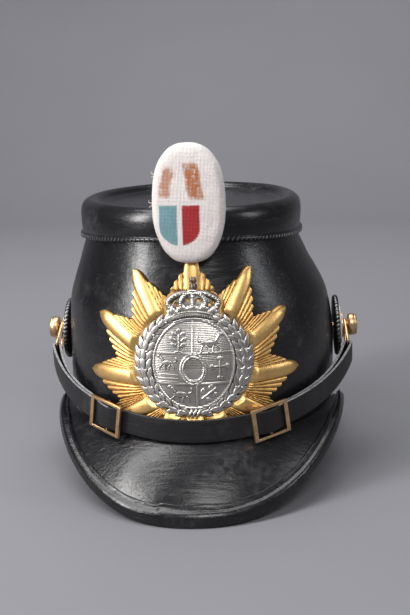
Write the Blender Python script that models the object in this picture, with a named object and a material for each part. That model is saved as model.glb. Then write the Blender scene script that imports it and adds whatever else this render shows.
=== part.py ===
"""A leather shako hat with a gilt star plate, a white-metal emblem, a field badge and a chin strap.

Run it with blender --background --python part.py, or from Blender's text editor. Lengths are in metres.
The hat stands on its two peaks at height 0 and faces -Y, with its left side (the wearer's right) at -X.
"""

import math
from collections import namedtuple

import bmesh
import bpy
from mathutils import Matrix, Vector

# Crown: the wall is an oval tube whose half axes follow SECTIONS
RIM_HEIGHT = 0.036
WALL_HEIGHT = 0.123
HALF_WIDTH = 0.086
HALF_LENGTH = 0.103
LEATHER = 0.002
FIT_GAP = 0.0003
AROUND = 56
BEND_START = 0.46

# Cap on top of the wall: its collar starts this far below the wall's upper edge
COLLAR_DROP = 0.015
COLLAR_FRONT_LIFT = 0.40
COLLAR_PROUD = 0.0026
RIM_RISE = 0.0085
RIM_ROLL = 0.010

# Peaks
FRONT_REACH = 0.1395
REAR_REACH = 0.138
PEAK_HALF_WIDTH = 0.0897
PEAK_START = 0.018
PEAK_THICKNESS = 0.0022
PEAK_BULGE = 0.0035
PEAK_FLAT_HALF = 0.005
PEAK_SIDE_CURVE = 2.7
PEAK_SLOPE_SEAT = 0.0011
PEAK_SETTLE = 0.0017
BINDING_WIDTH = 0.009
BINDING_THICKNESS = 0.0012
BINDING_GAP = 0.0006
# The binding's fold, as shares of its distance from the peak's middle
ROLL_UP = 0.6
ROLL_OUT = 0.8

# Star plate: its centre's height, its rays and its thickness
STAR_HEIGHT = 0.0730
STAR_RADIUS = 0.0695
STAR_RAYS = 12
STAR_SHEET = 0.0010
STAR_SEAT = 0.0005
STAR_RELIEF = 0.0017
STAR_TOP_HEIGHT = 0.140
STAR_LOW_HEIGHT = 0.0412
WRAP_STEP = 0.0095
LEVEL_STEP = 0.0115

# Wreath, crown and shield, on the star plate
EMBLEM_HEIGHT = 0.0822
WREATH_HALF_WIDTH = 0.0358
WREATH_HALF_HEIGHT = 0.0306
WREATH_THICKNESS = 0.0016
WREATH_LOBES = 26
WREATH_LOBE_DEPTH = 0.0014
# The crown stands in the wreath's open top, from this share of the wreath's half height
CROWN_FOOT = 0.93
CROWN_GAP_TURN = math.radians(24)
# The star is flat under the wreath and this far past its edge
STAR_FLAT_MARGIN = 0.0042
STAR_BASE_RADIUS = WREATH_HALF_WIDTH + STAR_FLAT_MARGIN
SHIELD_HALF_WIDTH = 0.0228
SHIELD_HALF_HEIGHT = 0.0262
SHIELD_THICKNESS = 0.0012
SHIELD_DOME = 0.0016
EMBLEM_CROWN_HALF_WIDTH = 0.0142
EMBLEM_CROWN_TOP = 0.1303

# Field badge and its pin
BADGE_HALF_WIDTH = 0.0205
BADGE_BOTTOM = 0.1384
BADGE_HEIGHT = 0.0668
BADGE_THICKNESS = 0.0092
BADGE_STANDOFF = 0.0016
BADGE_ROUND = 2.4
PIN_RADIUS = 0.001
PIN_HEAD_RADIUS = 0.003
PIN_HEAD = 0.001
PIN_HEAD_SEAT = 0.0007
PIN_HEIGHT = 0.152
PIN_IN_BADGE = 0.003

# Chin strap
STRAP_WIDTH = 0.0135
STRAP_THICKNESS = 0.0018
STRAP_FRONT_HEIGHT = 0.0436
STRAP_RISE = 0.0172
STRAP_BEND_TURN = math.radians(30.0)
STRAP_END_TURN = math.radians(82.0)
STRAP_LEAVE_TURN = math.radians(52.0)
STRAP_END_LIFT = 0.0045
STRAP_BUCKLE_SHARES = (-0.27, -0.17, -0.07, 0.0, 0.07, 0.17, 0.27, 0.38, 0.52)
# Where the upper layer comes off the under one and where it lies on the buckle's bar, in buckle lengths
JOIN_START = 0.62
JOIN_END = 0.15
LIFT_START = 0.045
LIFT_END = 0.38
LINK_BAR_OUT = 0.0016

# Slide buckles
BUCKLE_TURN_LEFT = math.radians(33.0)
BUCKLE_TURN_RIGHT = math.radians(27.5)
BUCKLE_LENGTH = 0.0243
BUCKLE_WIDTH = 0.0196
BUCKLE_SIDE_BAR = 0.0025
BUCKLE_LONG_BAR = 0.0016
BUCKLE_PLATE = 0.0018
BUCKLE_CENTRE_BAR = 0.0014
BUCKLE_PLAY = 0.0007

# Side posts, cockades and strap links
POST_HEIGHT = 0.079
POST_TILT = math.radians(2.5)
POST_OUT = 0.016
SHANK_RADIUS = 0.002
SHANK_CLEARANCE = 0.0003
INNER_HEAD_RADIUS = 0.0045
INNER_HEAD_SEAT = 0.0009
INNER_HEAD = 0.0012
COCKADE_RADIUS = 0.020
COCKADE_THICKNESS = 0.0035
COCKADE_STANDOFF = 0.0007
COCKADE_FLUTES = 22
COCKADE_FLUTE_DEPTH = 0.0007
WASHER_RADIUS = 0.0125
WASHER_THICKNESS = 0.0009
FLANGE_RADIUS = 0.0086
FLANGE_THICKNESS = 0.001
KNOB_RADIUS = 0.0069
LINK_WIRE = 0.0022
LINK_HALF_WIDTH = 0.0088
LINK_CORNER = 0.0018

# Half axes of the wall, as shares of HALF_WIDTH and HALF_LENGTH, at shares of WALL_HEIGHT
Section = namedtuple("Section", "height left right front back")
SECTIONS = (
    Section(0.00, 1.000, 1.000, 1.000, 1.000),
    Section(0.21, 1.004, 1.002, 0.998, 1.000),
    Section(0.35, 1.000, 1.000, 0.985, 0.990),
    Section(0.46, 0.998, 0.980, 0.962, 0.970),
    Section(0.57, 0.985, 0.946, 0.932, 0.942),
    Section(0.65, 0.953, 0.892, 0.902, 0.912),
    Section(0.75, 0.905, 0.810, 0.865, 0.877),
    Section(0.88, 0.853, 0.730, 0.822, 0.837),
    Section(1.00, 0.845, 0.722, 0.802, 0.822),
)

# Cap profile from the disc's underside round the collar and over the rim: inward is a share of RIM_ROLL,
# proud of COLLAR_PROUD, rise of RIM_RISE above the wall's edge and drop of COLLAR_DROP below it
CapPoint = namedtuple("CapPoint", "inward proud rise drop")
CAP_INNER = (
    CapPoint(1.50, 0.0, 0.20, 0.0),
    CapPoint(0.85, 0.0, 0.32, 0.0),
    CapPoint(0.55, 0.0, 0.66, 0.0),
    CapPoint(0.25, 0.0, 0.66, 0.0),
    CapPoint(0.02, 0.1, 0.28, 0.0),
    CapPoint(0.00, 0.0, 0.00, 0.0),
    CapPoint(0.00, 0.0, 0.00, 1.0),
)
CAP_OUTER = (
    CapPoint(0.00, 0.62, 0.00, 1.04),
    CapPoint(0.00, 1.10, 0.00, 0.97),
    CapPoint(0.00, 1.12, 0.00, 0.86),
    CapPoint(0.00, 0.92, 0.00, 0.72),
    CapPoint(0.00, 1.10, 0.00, 0.35),
    CapPoint(0.00, 1.08, 0.15, 0.0),
    CapPoint(0.00, 0.55, 0.66, 0.0),
    CapPoint(0.14, 0.00, 0.93, 0.0),
    CapPoint(0.42, 0.00, 1.00, 0.0),
    CapPoint(0.75, 0.00, 0.84, 0.0),
    CapPoint(0.98, 0.00, 0.58, 0.0),
    CapPoint(1.60, 0.00, 0.44, 0.0),
)

# One ray of the star: its turn in shares of the space between rays, its reach in shares of the way from the
# plate's flat middle to its tips
RayPoint = namedtuple("RayPoint", "turn reach")
RAY_OUTLINE = (
    RayPoint(-0.40, 0.1990),
    RayPoint(-0.27, 0.3875),
    RayPoint(-0.15, 0.5524),
    RayPoint(-0.105, 0.8351),
    RayPoint(-0.05, 0.9764),
    RayPoint(0.05, 0.9764),
    RayPoint(0.105, 0.8351),
    RayPoint(0.16, 0.5995),
    RayPoint(0.28, 0.4581),
    RayPoint(0.42, 0.3168),
)

# Right half of the emblem's crown, from its base up: shares of its half width and of its height
CrownPoint = namedtuple("CrownPoint", "across up")
CROWN_OUTLINE = (
    CrownPoint(0.78, 0.02),
    CrownPoint(0.80, 0.20),
    CrownPoint(1.00, 0.42),
    CrownPoint(0.86, 0.64),
    CrownPoint(0.45, 0.72),
    CrownPoint(0.27, 0.78),
    CrownPoint(0.27, 0.94),
    CrownPoint(0.12, 1.00),
)

# Badge profile from its back to its front: shares of its half sizes and of its thickness
BadgePoint = namedtuple("BadgePoint", "size depth")
BADGE_PROFILE = (
    BadgePoint(0.55, 0.00),
    BadgePoint(0.86, 0.03),
    BadgePoint(0.97, 0.20),
    BadgePoint(1.00, 0.42),
    BadgePoint(0.96, 0.66),
    BadgePoint(0.84, 0.85),
    BadgePoint(0.50, 0.98),
)

# Post profile beyond its shank: the knob's shape, in shares of its length and radius
KnobPoint = namedtuple("KnobPoint", "along radius")
KNOB_PROFILE = (
    KnobPoint(0.00, 0.78),
    KnobPoint(0.10, 0.95),
    KnobPoint(0.32, 1.00),
    KnobPoint(0.68, 0.95),
    KnobPoint(0.90, 0.74),
    KnobPoint(0.98, 0.42),
)


def clear_scene():
    """Removes every object that the file starts with."""
    for obj in list(bpy.data.objects):
        bpy.data.objects.remove(obj, do_unlink=True)


def material(name, colour, roughness, metallic=0.0):
    """A Principled material of one colour."""
    mat = bpy.data.materials.new(name)
    mat.use_nodes = True
    shader = mat.node_tree.nodes["Principled BSDF"]
    shader.inputs["Base Color"].default_value = (*colour, 1.0)
    shader.inputs["Roughness"].default_value = roughness
    shader.inputs["Metallic"].default_value = metallic
    return mat


def add_object(name, bm, mat):
    """Turns a bmesh into a named object with outward faces."""
    bmesh.ops.recalc_face_normals(bm, faces=bm.faces)
    mesh = bpy.data.meshes.new(name)
    bm.to_mesh(mesh)
    bm.free()
    mesh.shade_smooth()
    mesh.set_sharp_from_angle(angle=math.radians(35))
    mesh.materials.append(mat)
    obj = bpy.data.objects.new(name, mesh)
    bpy.context.collection.objects.link(obj)
    return obj


def cylinder_cutter(name, start, end, radius):
    """A hidden cylinder from start to end, for a Boolean."""
    axis = end - start
    turn = Vector((0, 0, 1)).rotation_difference(axis).to_matrix().to_4x4()
    bm = bmesh.new()
    place = Matrix.Translation((start + end) / 2) @ turn
    bmesh.ops.create_cone(
        bm, cap_ends=True, segments=12, radius1=radius, radius2=radius, depth=axis.length, matrix=place
    )
    mesh = bpy.data.meshes.new(name)
    bm.to_mesh(mesh)
    bm.free()
    obj = bpy.data.objects.new(name, mesh)
    bpy.context.collection.objects.link(obj)
    obj.hide_render = True
    obj.display_type = "WIRE"
    return obj


def cut(obj, cutter):
    """Cuts the cutter's shape out of the object."""
    modifier = obj.modifiers.new(cutter.name, "BOOLEAN")
    modifier.operation = "DIFFERENCE"
    modifier.object = cutter


def rings_to_bmesh(rings, close_section, start_pole=None, end_pole=None, close_rings=True):
    """Joins rings of points by quads; a section can close on itself, or end in poles or flat caps."""
    bm = bmesh.new()
    loops = [[bm.verts.new(point) for point in ring] for ring in rings]
    pairs = list(zip(loops, loops[1:]))
    if close_section:
        pairs.append((loops[-1], loops[0]))
    count = len(rings[0])
    steps = count if close_rings else count - 1
    for low, high in pairs:
        for i in range(steps):
            j = (i + 1) % count
            bm.faces.new((low[i], low[j], high[j], high[i]))
    for pole, loop in ((start_pole, loops[0]), (end_pole, loops[-1])):
        if pole is not None:
            centre = bm.verts.new(pole)
            for i in range(count):
                bm.faces.new((loop[i], loop[(i + 1) % count], centre))
    return bm


def catmull(before, start, end, after, share):
    """A smooth value between start and end."""
    slope_in = (end - before) / 2
    slope_out = (after - start) / 2
    s2 = share * share
    s3 = s2 * share
    value = (2 * s3 - 3 * s2 + 1) * start + (s3 - 2 * s2 + share) * slope_in
    return value + (3 * s2 - 2 * s3) * end + (s3 - s2) * slope_out


def half_axes(height):
    """The wall's left, right, front and back half axes at a height above the surface."""
    share = min(max((height - RIM_HEIGHT) / WALL_HEIGHT, 0.0), 1.0)
    row = 0
    while row < len(SECTIONS) - 2 and SECTIONS[row + 1].height < share:
        row += 1
    low, high = SECTIONS[row], SECTIONS[row + 1]
    before = SECTIONS[max(row - 1, 0)]
    after = SECTIONS[min(row + 2, len(SECTIONS) - 1)]
    part = (share - low.height) / (high.height - low.height)
    values = [catmull(before[i], low[i], high[i], after[i], part) for i in range(1, 5)]
    left, right, front, back = values
    return (left * HALF_WIDTH, right * HALF_WIDTH, front * HALF_LENGTH, back * HALF_LENGTH)


def wall_point(turn, height, out=0.0):
    """A point of the wall, turned from the front towards +X, and moved outwards level by out."""
    left, right, front, back = half_axes(height)
    across = right if math.sin(turn) >= 0 else left
    along = front if math.cos(turn) >= 0 else back
    normal = wall_normal(turn, across, along)
    return Vector((across * math.sin(turn), -along * math.cos(turn), height)) + out * normal


def wall_normal(turn, across, along):
    """The level outward direction of an oval with these half axes."""
    return Vector((along * math.sin(turn), -across * math.cos(turn), 0.0)).normalized()


def wrap(across, height, out):
    """Lays a flat point on the front of the wall: across is measured along the wall's curve."""
    left, right, front, back = half_axes(height)
    half = right if across >= 0 else left
    stretch = (front * front - half * half) / (half * half)
    turn = across / half
    for step in range(4):
        turn = across / (half * (1 + stretch * turn * turn / 6))
    return wall_point(turn, height, out)


def ring_turns():
    """The turns at which the crown's rings have their points."""
    return [2 * math.pi * i / AROUND for i in range(AROUND)]


def make_crown_body(mat):
    """The hollow leather wall, open at both ends."""
    shares = [row.height for row in SECTIONS]
    shares += [(low + high) / 2 for low, high in zip(shares, shares[1:]) if low >= BEND_START]
    heights = [RIM_HEIGHT + WALL_HEIGHT * share for share in sorted(shares)]
    outer = [[wall_point(turn, z) for turn in ring_turns()] for z in heights]
    inner = [[wall_point(turn, z, -LEATHER) for turn in ring_turns()] for z in reversed(heights)]
    return add_object("crown_body", rings_to_bmesh(outer + inner, close_section=True), mat)


def cap_ring(point, out_shift):
    """One ring of the cap, from a row of its profile."""
    wall_top = RIM_HEIGHT + WALL_HEIGHT
    out = out_shift + point.proud * COLLAR_PROUD - point.inward * RIM_ROLL
    ring = []
    for turn in ring_turns():
        drop = point.drop * COLLAR_DROP * (1 - COLLAR_FRONT_LIFT * max(0.0, math.cos(turn)) ** 2)
        ring.append(wall_point(turn, wall_top + point.rise * RIM_RISE - drop, out))
    return ring


def make_crown_top(mat):
    """The moulded cap: sunken disc, rounded rim, collar and rolled bead."""
    rings = [cap_ring(point, FIT_GAP) for point in CAP_INNER]
    rings += [cap_ring(point, FIT_GAP) for point in CAP_OUTER]
    left, right, front, back = half_axes(RIM_HEIGHT + WALL_HEIGHT)
    middle = Vector(((right - left) / 2, (back - front) / 2, 0.0))
    under = middle + Vector((0, 0, rings[0][0].z))
    over = middle + Vector((0, 0, rings[-1][0].z))
    bm = rings_to_bmesh(rings, close_section=False, start_pole=under, end_pole=over)
    return add_object("crown_top", bm, mat)


def peak_edge(turn, reach):
    """The middle line of a peak's edge, with turn from -90 to 90 degrees across it."""
    across = PEAK_HALF_WIDTH * math.sin(turn)
    forward = PEAK_START + (reach - PEAK_START) * math.cos(turn)
    tip = PEAK_THICKNESS / 2 + BINDING_GAP + BINDING_THICKNESS - PEAK_SETTLE
    share = max(0.0, abs(across) - PEAK_FLAT_HALF) / (PEAK_HALF_WIDTH - PEAK_FLAT_HALF)
    climb = RIM_HEIGHT + PEAK_THICKNESS / 2 - tip
    return Vector((across, -forward, tip + climb * share ** PEAK_SIDE_CURVE))


def peak_root(turn):
    """The inner edge of a peak, against the wall's lower rim."""
    side_turn = math.acos(PEAK_START / HALF_LENGTH)
    return wall_point(turn / (math.pi / 2) * side_turn, RIM_HEIGHT + PEAK_THICKNESS / 2, PEAK_SLOPE_SEAT)


def peak_point(turn, share, reach):
    """The middle surface of a peak, from its root (share 0) to its edge (share 1)."""
    root = peak_root(turn)
    edge = peak_edge(turn, reach)
    bulge = PEAK_BULGE * math.sin(math.pi * share) * math.cos(turn)
    return root.lerp(edge, share) + Vector((0, 0, bulge))


def peak_normal(turn, share, reach):
    """The upward direction square to a peak's middle surface."""
    step = 0.01
    low, high = max(share - step, 0.0), min(share + step, 1.0)
    along = peak_point(turn, high, reach) - peak_point(turn, low, reach)
    side = peak_point(turn + step, share, reach) - peak_point(turn - step, share, reach)
    normal = side.cross(along).normalized()
    return normal if normal.z > 0 else -normal


def flatten(point):
    """Leather that would reach below the surface lies flat on it."""
    return Vector((point.x, point.y, max(point.z, 0.0)))


def peak_turns(count):
    """Turns across a peak, kept a little short of its ends."""
    end = math.radians(88)
    return [end * (2 * i / count - 1) for i in range(count + 1)]


def make_peak(name, mat, reach, backward, drop):
    """A sloping leather peak; backward turns it to the rear, and drop lowers an edge with no binding."""
    rings = []
    for turn in peak_turns(28):
        leg = binding_leg(turn)
        shares = [(1 - leg) * part / 3 for part in range(4)] + [1 - leg / 2, 1.0]
        top = []
        under = []
        for share in shares:
            point = peak_point(turn, share, reach) - Vector((0, 0, drop * share))
            half = peak_normal(turn, share, reach) * PEAK_THICKNESS / 2
            top.append(flatten(point + half))
            under.append(flatten(point - half))
        rings.append(top + under[::-1])
    bm = rings_to_bmesh(rings, close_section=False)
    cap_ends(bm, len(rings[0]))
    if backward:
        bmesh.ops.rotate(bm, verts=bm.verts, cent=(0, 0, 0), matrix=Matrix.Rotation(math.pi, 3, "Z"))
    return add_object(name, bm, mat)


def cap_ends(bm, count):
    """Closes the first and the last ring with a face each."""
    bm.verts.ensure_lookup_table()
    bm.faces.new(bm.verts[0:count])
    bm.faces.new(bm.verts[len(bm.verts) - count:])


def binding_leg(turn):
    """The share of a peak's width that its binding covers."""
    width = (peak_root(turn) - peak_edge(turn, FRONT_REACH)).length
    return min(BINDING_WIDTH / width, 0.6)


def make_binding(mat):
    """The leather strip folded over the front peak's edge."""
    near = PEAK_THICKNESS / 2 + BINDING_GAP
    far = near + BINDING_THICKNESS
    rings = []
    for turn in peak_turns(28):
        leg = binding_leg(turn)
        out = (peak_edge(turn, FRONT_REACH) - peak_point(turn, 0.95, FRONT_REACH)).normalized()
        edge = peak_edge(turn, FRONT_REACH)
        up = peak_normal(turn, 1.0, FRONT_REACH)
        back_point = peak_point(turn, 1 - leg, FRONT_REACH)
        back_up = peak_normal(turn, 1 - leg, FRONT_REACH)
        mid_point = peak_point(turn, 1 - leg / 2, FRONT_REACH)
        mid_up = peak_normal(turn, 1 - leg / 2, FRONT_REACH)
        outer = [
            back_point + back_up * far,
            mid_point + mid_up * far,
            edge + up * far,
            edge + (up * ROLL_UP + out * ROLL_OUT) * far,
            edge - (up * ROLL_UP - out * ROLL_OUT) * far,
            edge - up * far,
            mid_point - mid_up * far,
            back_point - back_up * far,
        ]
        inner = [
            back_point - back_up * near,
            mid_point - mid_up * near,
            edge - up * near + out * BINDING_GAP,
            edge + up * near + out * BINDING_GAP,
            mid_point + mid_up * near,
            back_point + back_up * near,
        ]
        rings.append([flatten(point) for point in outer + inner])
    bm = rings_to_bmesh(rings, close_section=False)
    cap_ends(bm, len(rings[0]))
    return add_object("front_peak_binding", bm, mat)


def sheet_from_outlines(outlines, cut_across, middle_face=False):
    """A flat sheet in across and height, filled between closed outlines, and cut into narrow strips."""
    bm = bmesh.new()
    verts = []
    for outline in outlines:
        verts = [bm.verts.new((across, height, 0)) for across, height in outline]
        for i, vert in enumerate(verts):
            bm.edges.new((vert, verts[(i + 1) % len(verts)]))
    bmesh.ops.triangle_fill(bm, use_beauty=True, use_dissolve=True, edges=bm.edges[:])
    if middle_face:
        bm.faces.new(verts)
        bmesh.ops.recalc_face_normals(bm, faces=bm.faces[:])
    for planes, normal in ((cut_across, Vector((1, 0, 0))), (level_cuts(), Vector((0, 1, 0)))):
        for place in planes:
            geom = bm.verts[:] + bm.edges[:] + bm.faces[:]
            bmesh.ops.bisect_plane(bm, geom=geom, dist=1e-6, plane_co=normal * place, plane_no=normal)
    return bm


def wrapped_solid(name, sheet, low, high, mat):
    """Wraps a flat sheet on the wall's front, from low to high(across, height) above the leather."""
    bm = bmesh.new()
    under = {}
    over = {}
    for vert in sheet.verts:
        across, height = vert.co.x, vert.co.y
        under[vert] = bm.verts.new(wrap(across, height, low))
        over[vert] = bm.verts.new(wrap(across, height, high(across, height)))
    for face in sheet.faces:
        bm.faces.new([over[vert] for vert in face.verts])
        bm.faces.new([under[vert] for vert in reversed(face.verts)])
    for edge in sheet.edges:
        if edge.is_boundary:
            a, b = edge.verts
            bm.faces.new((under[a], under[b], over[b], over[a]))
    sheet.free()
    bmesh.ops.triangulate(bm, faces=bm.faces[:])
    return add_object(name, bm, mat)


def strip_cuts(half):
    """Places of the cuts that let a flat sheet bend round the wall."""
    count = int(half / WRAP_STEP)
    return [WRAP_STEP * i for i in range(-count, count + 1)]


def level_cuts():
    """Heights of the cuts that let a flat sheet follow the wall's slope."""
    count = int((STAR_TOP_HEIGHT - RIM_HEIGHT) / LEVEL_STEP)
    return [RIM_HEIGHT + LEVEL_STEP * (i + 1) for i in range(count)]


def star_relief(across, height):
    """How far the star's front stands above its sheet: ridges along the rays, flat under the emblem."""
    reach = math.hypot(across, height - STAR_HEIGHT)
    turn = math.atan2(abs(across), height - STAR_HEIGHT)
    space = 2 * math.pi / STAR_RAYS
    from_axis = abs((turn / space + 0.5) % 1.0 - 0.5) * 2
    grow = min(max((reach - STAR_BASE_RADIUS) / (STAR_RADIUS * 0.12), 0.0), 1.0)
    fall = min(max((STAR_RADIUS - reach) / (STAR_RADIUS * 0.1), 0.0), 1.0)
    if height > EMBLEM_HEIGHT:
        grow *= smooth_share(abs(across), EMBLEM_CROWN_HALF_WIDTH * 1.5, EMBLEM_CROWN_HALF_WIDTH * 2)
    return STAR_RELIEF * grow * fall * max(0.0, 1.0 - from_axis * 1.6)


def star_sheet():
    """The star's flat sheet, cut along its rays' axes and trimmed at its top and foot."""
    space = 2 * math.pi / STAR_RAYS
    outline = []
    for ray in range(STAR_RAYS):
        for row in RAY_OUTLINE:
            turn = (ray + row.turn) * space
            reach = STAR_BASE_RADIUS + (STAR_RADIUS - STAR_BASE_RADIUS) * row.reach
            outline.append((reach * math.sin(turn), STAR_HEIGHT + reach * math.cos(turn)))
    mirrored = [(-across, height) for across, height in outline]
    right = [point for point in outline if point[0] > 1e-6]
    left = [point for point in mirrored if point[0] < -1e-6]
    flat = []
    for i in range(2 * STAR_RAYS):
        turn = i * space / 2
        flat.append((STAR_BASE_RADIUS * math.sin(turn), STAR_HEIGHT + STAR_BASE_RADIUS * math.cos(turn)))
    bm = sheet_from_outlines([right + left[::-1], flat], strip_cuts(STAR_RADIUS), middle_face=True)
    centre = Vector((0, STAR_HEIGHT, 0))
    for ray in range(1, STAR_RAYS // 2):
        turn = ray * space
        normal = Vector((math.cos(turn), -math.sin(turn), 0))
        geom = bm.verts[:] + bm.edges[:] + bm.faces[:]
        bmesh.ops.bisect_plane(bm, geom=geom, dist=1e-6, plane_co=centre, plane_no=normal)
    for height, up in ((STAR_TOP_HEIGHT, 1), (STAR_LOW_HEIGHT, -1)):
        geom = bm.verts[:] + bm.edges[:] + bm.faces[:]
        bmesh.ops.bisect_plane(
            bm, geom=geom, dist=1e-6, plane_co=(0, height, 0), plane_no=(0, up, 0), clear_outer=True
        )
    return bm


def make_star_plate(mat):
    """The gilt sunburst plate, bent round the front of the wall."""

    def high(across, height):
        return STAR_SEAT + STAR_SHEET + star_relief(across, height)

    return wrapped_solid("star_plate", star_sheet(), STAR_SEAT, high, mat)


def emblem_base():
    """How far the emblem's back lies above the leather."""
    return STAR_SEAT + STAR_SHEET + FIT_GAP


def wreath_outline():
    """The wreath's lobed outer edge with the crown on top of it."""
    crown_foot = EMBLEM_HEIGHT + WREATH_HALF_HEIGHT * CROWN_FOOT
    crown_rise = EMBLEM_CROWN_TOP - crown_foot
    points = []
    start = CROWN_GAP_TURN
    count = WREATH_LOBES * 3
    for i in range(count + 1):
        turn = start + (2 * math.pi - 2 * start) * i / count
        lobe = WREATH_LOBE_DEPTH * (0.5 - 0.5 * math.cos(2 * math.pi * i / 3))
        across = (WREATH_HALF_WIDTH - lobe) * math.sin(turn)
        height = EMBLEM_HEIGHT + (WREATH_HALF_HEIGHT - lobe) * math.cos(turn)
        points.append((across, height))
    half = EMBLEM_CROWN_HALF_WIDTH
    crown = [(row.across * half, crown_foot + row.up * crown_rise) for row in CROWN_OUTLINE]
    left = [(-across, height) for across, height in crown]
    right = [(across, height) for across, height in reversed(crown)]
    return points + left + right


def oval_points(half_width, half_height, count):
    """Points of an oval round the emblem's centre."""
    turns = [2 * math.pi * i / count for i in range(count)]
    return [(half_width * math.sin(t), EMBLEM_HEIGHT + half_height * math.cos(t)) for t in turns]


def make_wreath_and_crown(mat):
    """The white-metal wreath with the crown above it."""
    gap = 0.0006
    hole = oval_points(SHIELD_HALF_WIDTH + gap, SHIELD_HALF_HEIGHT + gap, 40)
    sheet = sheet_from_outlines([wreath_outline(), hole], strip_cuts(WREATH_HALF_WIDTH))
    base = emblem_base()
    return wrapped_solid("wreath_and_crown", sheet, base, lambda a, h: base + WREATH_THICKNESS, mat)


def make_shield(mat):
    """The slightly domed oval shield inside the wreath."""
    outlines = [oval_points(SHIELD_HALF_WIDTH, SHIELD_HALF_HEIGHT, 40)]
    sheet = sheet_from_outlines(outlines, strip_cuts(SHIELD_HALF_WIDTH))
    base = emblem_base()

    def high(across, height):
        share = (across / SHIELD_HALF_WIDTH) ** 2 + ((height - EMBLEM_HEIGHT) / SHIELD_HALF_HEIGHT) ** 2
        return base + SHIELD_THICKNESS + SHIELD_DOME * max(0.0, 1 - share)

    return wrapped_solid("oval_shield", sheet, base, high, mat)


def badge_back():
    """The distance of the badge's back from the hat's middle, clear of collar and star."""
    return half_axes(PIN_HEIGHT)[2] + FIT_GAP + COLLAR_PROUD * 1.12 + BADGE_STANDOFF


def make_badge(mat):
    """The padded oblong badge: flat at the back, crowned at the front."""
    count = 28
    half_height = BADGE_HEIGHT / 2
    centre = BADGE_BOTTOM + half_height
    back = -badge_back()

    def ring(size, depth):
        points = []
        for i in range(count):
            turn = 2 * math.pi * i / count
            s, c = math.sin(turn), math.cos(turn)
            scale = (abs(s) ** BADGE_ROUND + abs(c) ** BADGE_ROUND) ** (-1 / BADGE_ROUND)
            across = size * BADGE_HALF_WIDTH * scale * s
            height = centre + size * half_height * scale * c
            points.append(Vector((across, back - depth * BADGE_THICKNESS, height)))
        return points

    rings = [ring(row.size, row.depth) for row in BADGE_PROFILE]
    back_pole = Vector((0, back, centre))
    front_pole = Vector((0, back - BADGE_THICKNESS, centre))
    bm = rings_to_bmesh(rings, close_section=False, start_pole=back_pole, end_pole=front_pole)
    return add_object("field_badge", bm, mat)


def revolved(name, profile, place, mat, segments=16):
    """A solid turned about the local X axis, from (along, radius) points that start and end on the axis."""
    rings = []
    for along, radius in profile[1:-1]:
        turns = [2 * math.pi * i / segments for i in range(segments)]
        ring = [(along, radius * math.cos(t), radius * math.sin(t)) for t in turns]
        rings.append([place @ Vector(point) for point in ring])
    start = place @ Vector((profile[0][0], 0, 0))
    end = place @ Vector((profile[-1][0], 0, 0))
    bm = rings_to_bmesh(rings, close_section=False, start_pole=start, end_pole=end)
    return add_object(name, bm, mat)


def make_pin(mat, body, top, badge):
    """The plain pin through wall and collar into the badge, and the holes that it passes."""
    inside = half_axes(PIN_HEIGHT)[2] - LEATHER - PIN_HEAD_SEAT
    tip = badge_back() + PIN_IN_BADGE - FIT_GAP
    place = Matrix.Translation((0, 0, PIN_HEIGHT)) @ Matrix.Rotation(-math.pi / 2, 4, "Z")
    head_start = inside - PIN_HEAD
    profile = (
        (head_start, 0.0),
        (head_start, PIN_HEAD_RADIUS),
        (inside, PIN_HEAD_RADIUS),
        (inside, PIN_RADIUS),
        (tip, PIN_RADIUS),
        (tip, 0.0),
    )
    pin = revolved("badge_pin", profile, place, mat, segments=12)
    start = Vector((0, -(inside - PIN_HEAD), PIN_HEIGHT))
    end = Vector((0, -(badge_back() + PIN_IN_BADGE), PIN_HEIGHT))
    cutter = cylinder_cutter("pin_hole_cutter", start, end, PIN_RADIUS + SHANK_CLEARANCE)
    for obj in (body, top, badge):
        cut(obj, cutter)
    return pin


def smooth_share(value, start, end):
    """Eases from 0 at start to 1 at end."""
    share = min(max((value - start) / (end - start), 0.0), 1.0)
    return share * share * (3 - 2 * share)


def strap_height(turn):
    """The strap's middle height at a turn from the front: a bow, a straight climb and a lift to the link."""
    size = abs(turn)
    bend = STRAP_BEND_TURN
    whole = bend * bend + 2 * bend * (STRAP_END_TURN - bend)
    part = size * size if size < bend else bend * bend + 2 * bend * (size - bend)
    return STRAP_FRONT_HEIGHT + STRAP_RISE * part / whole + STRAP_END_LIFT * spread_share(turn)


def strap_frame(turn, out):
    """The strap's middle line at a turn: its point, direction, outward direction and width direction."""
    step = 0.01
    here = wall_point(turn, strap_height(turn), out)
    ahead = wall_point(turn + step, strap_height(turn + step), out)
    behind = wall_point(turn - step, strap_height(turn - step), out)
    along = (ahead - behind).normalized()
    left, right, front, back = half_axes(here.z)
    across = right if turn >= 0 else left
    outward = wall_normal(turn, across, front if math.cos(turn) >= 0 else back)
    width = outward.cross(along).normalized()
    return here, along, outward, width


def strap_rest():
    """The strap's middle layer above the leather where it crosses the star."""
    return STAR_SEAT + STAR_SHEET + STAR_RELIEF + FIT_GAP * 2 + STRAP_THICKNESS / 2


def link_bar_out():
    """The link's bar above the leather, at the strap's ends."""
    return link_station() - HALF_WIDTH + LINK_BAR_OUT


def link_station():
    """The link's place along the side post, from the hat's middle."""
    flange_end = HALF_WIDTH + side_stack()["flange_end"]
    return flange_end + FIT_GAP + LINK_WIRE / 2


def turn_radius():
    """The middle radius of the strap's turn round the link's bar."""
    return LINK_WIRE / 2 + FIT_GAP + STRAP_THICKNESS / 2


def buckle_turn(side):
    """The turn from the front at which a buckle sits; the right one sits nearer the middle."""
    return BUCKLE_TURN_RIGHT if side > 0 else -BUCKLE_TURN_LEFT


def spread_share(turn):
    """How far the strap stands off on its straight way from the wall (0) to its link (1)."""
    past = max(0.0, abs(turn) - STRAP_LEAVE_TURN)
    return (past / (STRAP_END_TURN - STRAP_LEAVE_TURN)) ** 2


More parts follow.
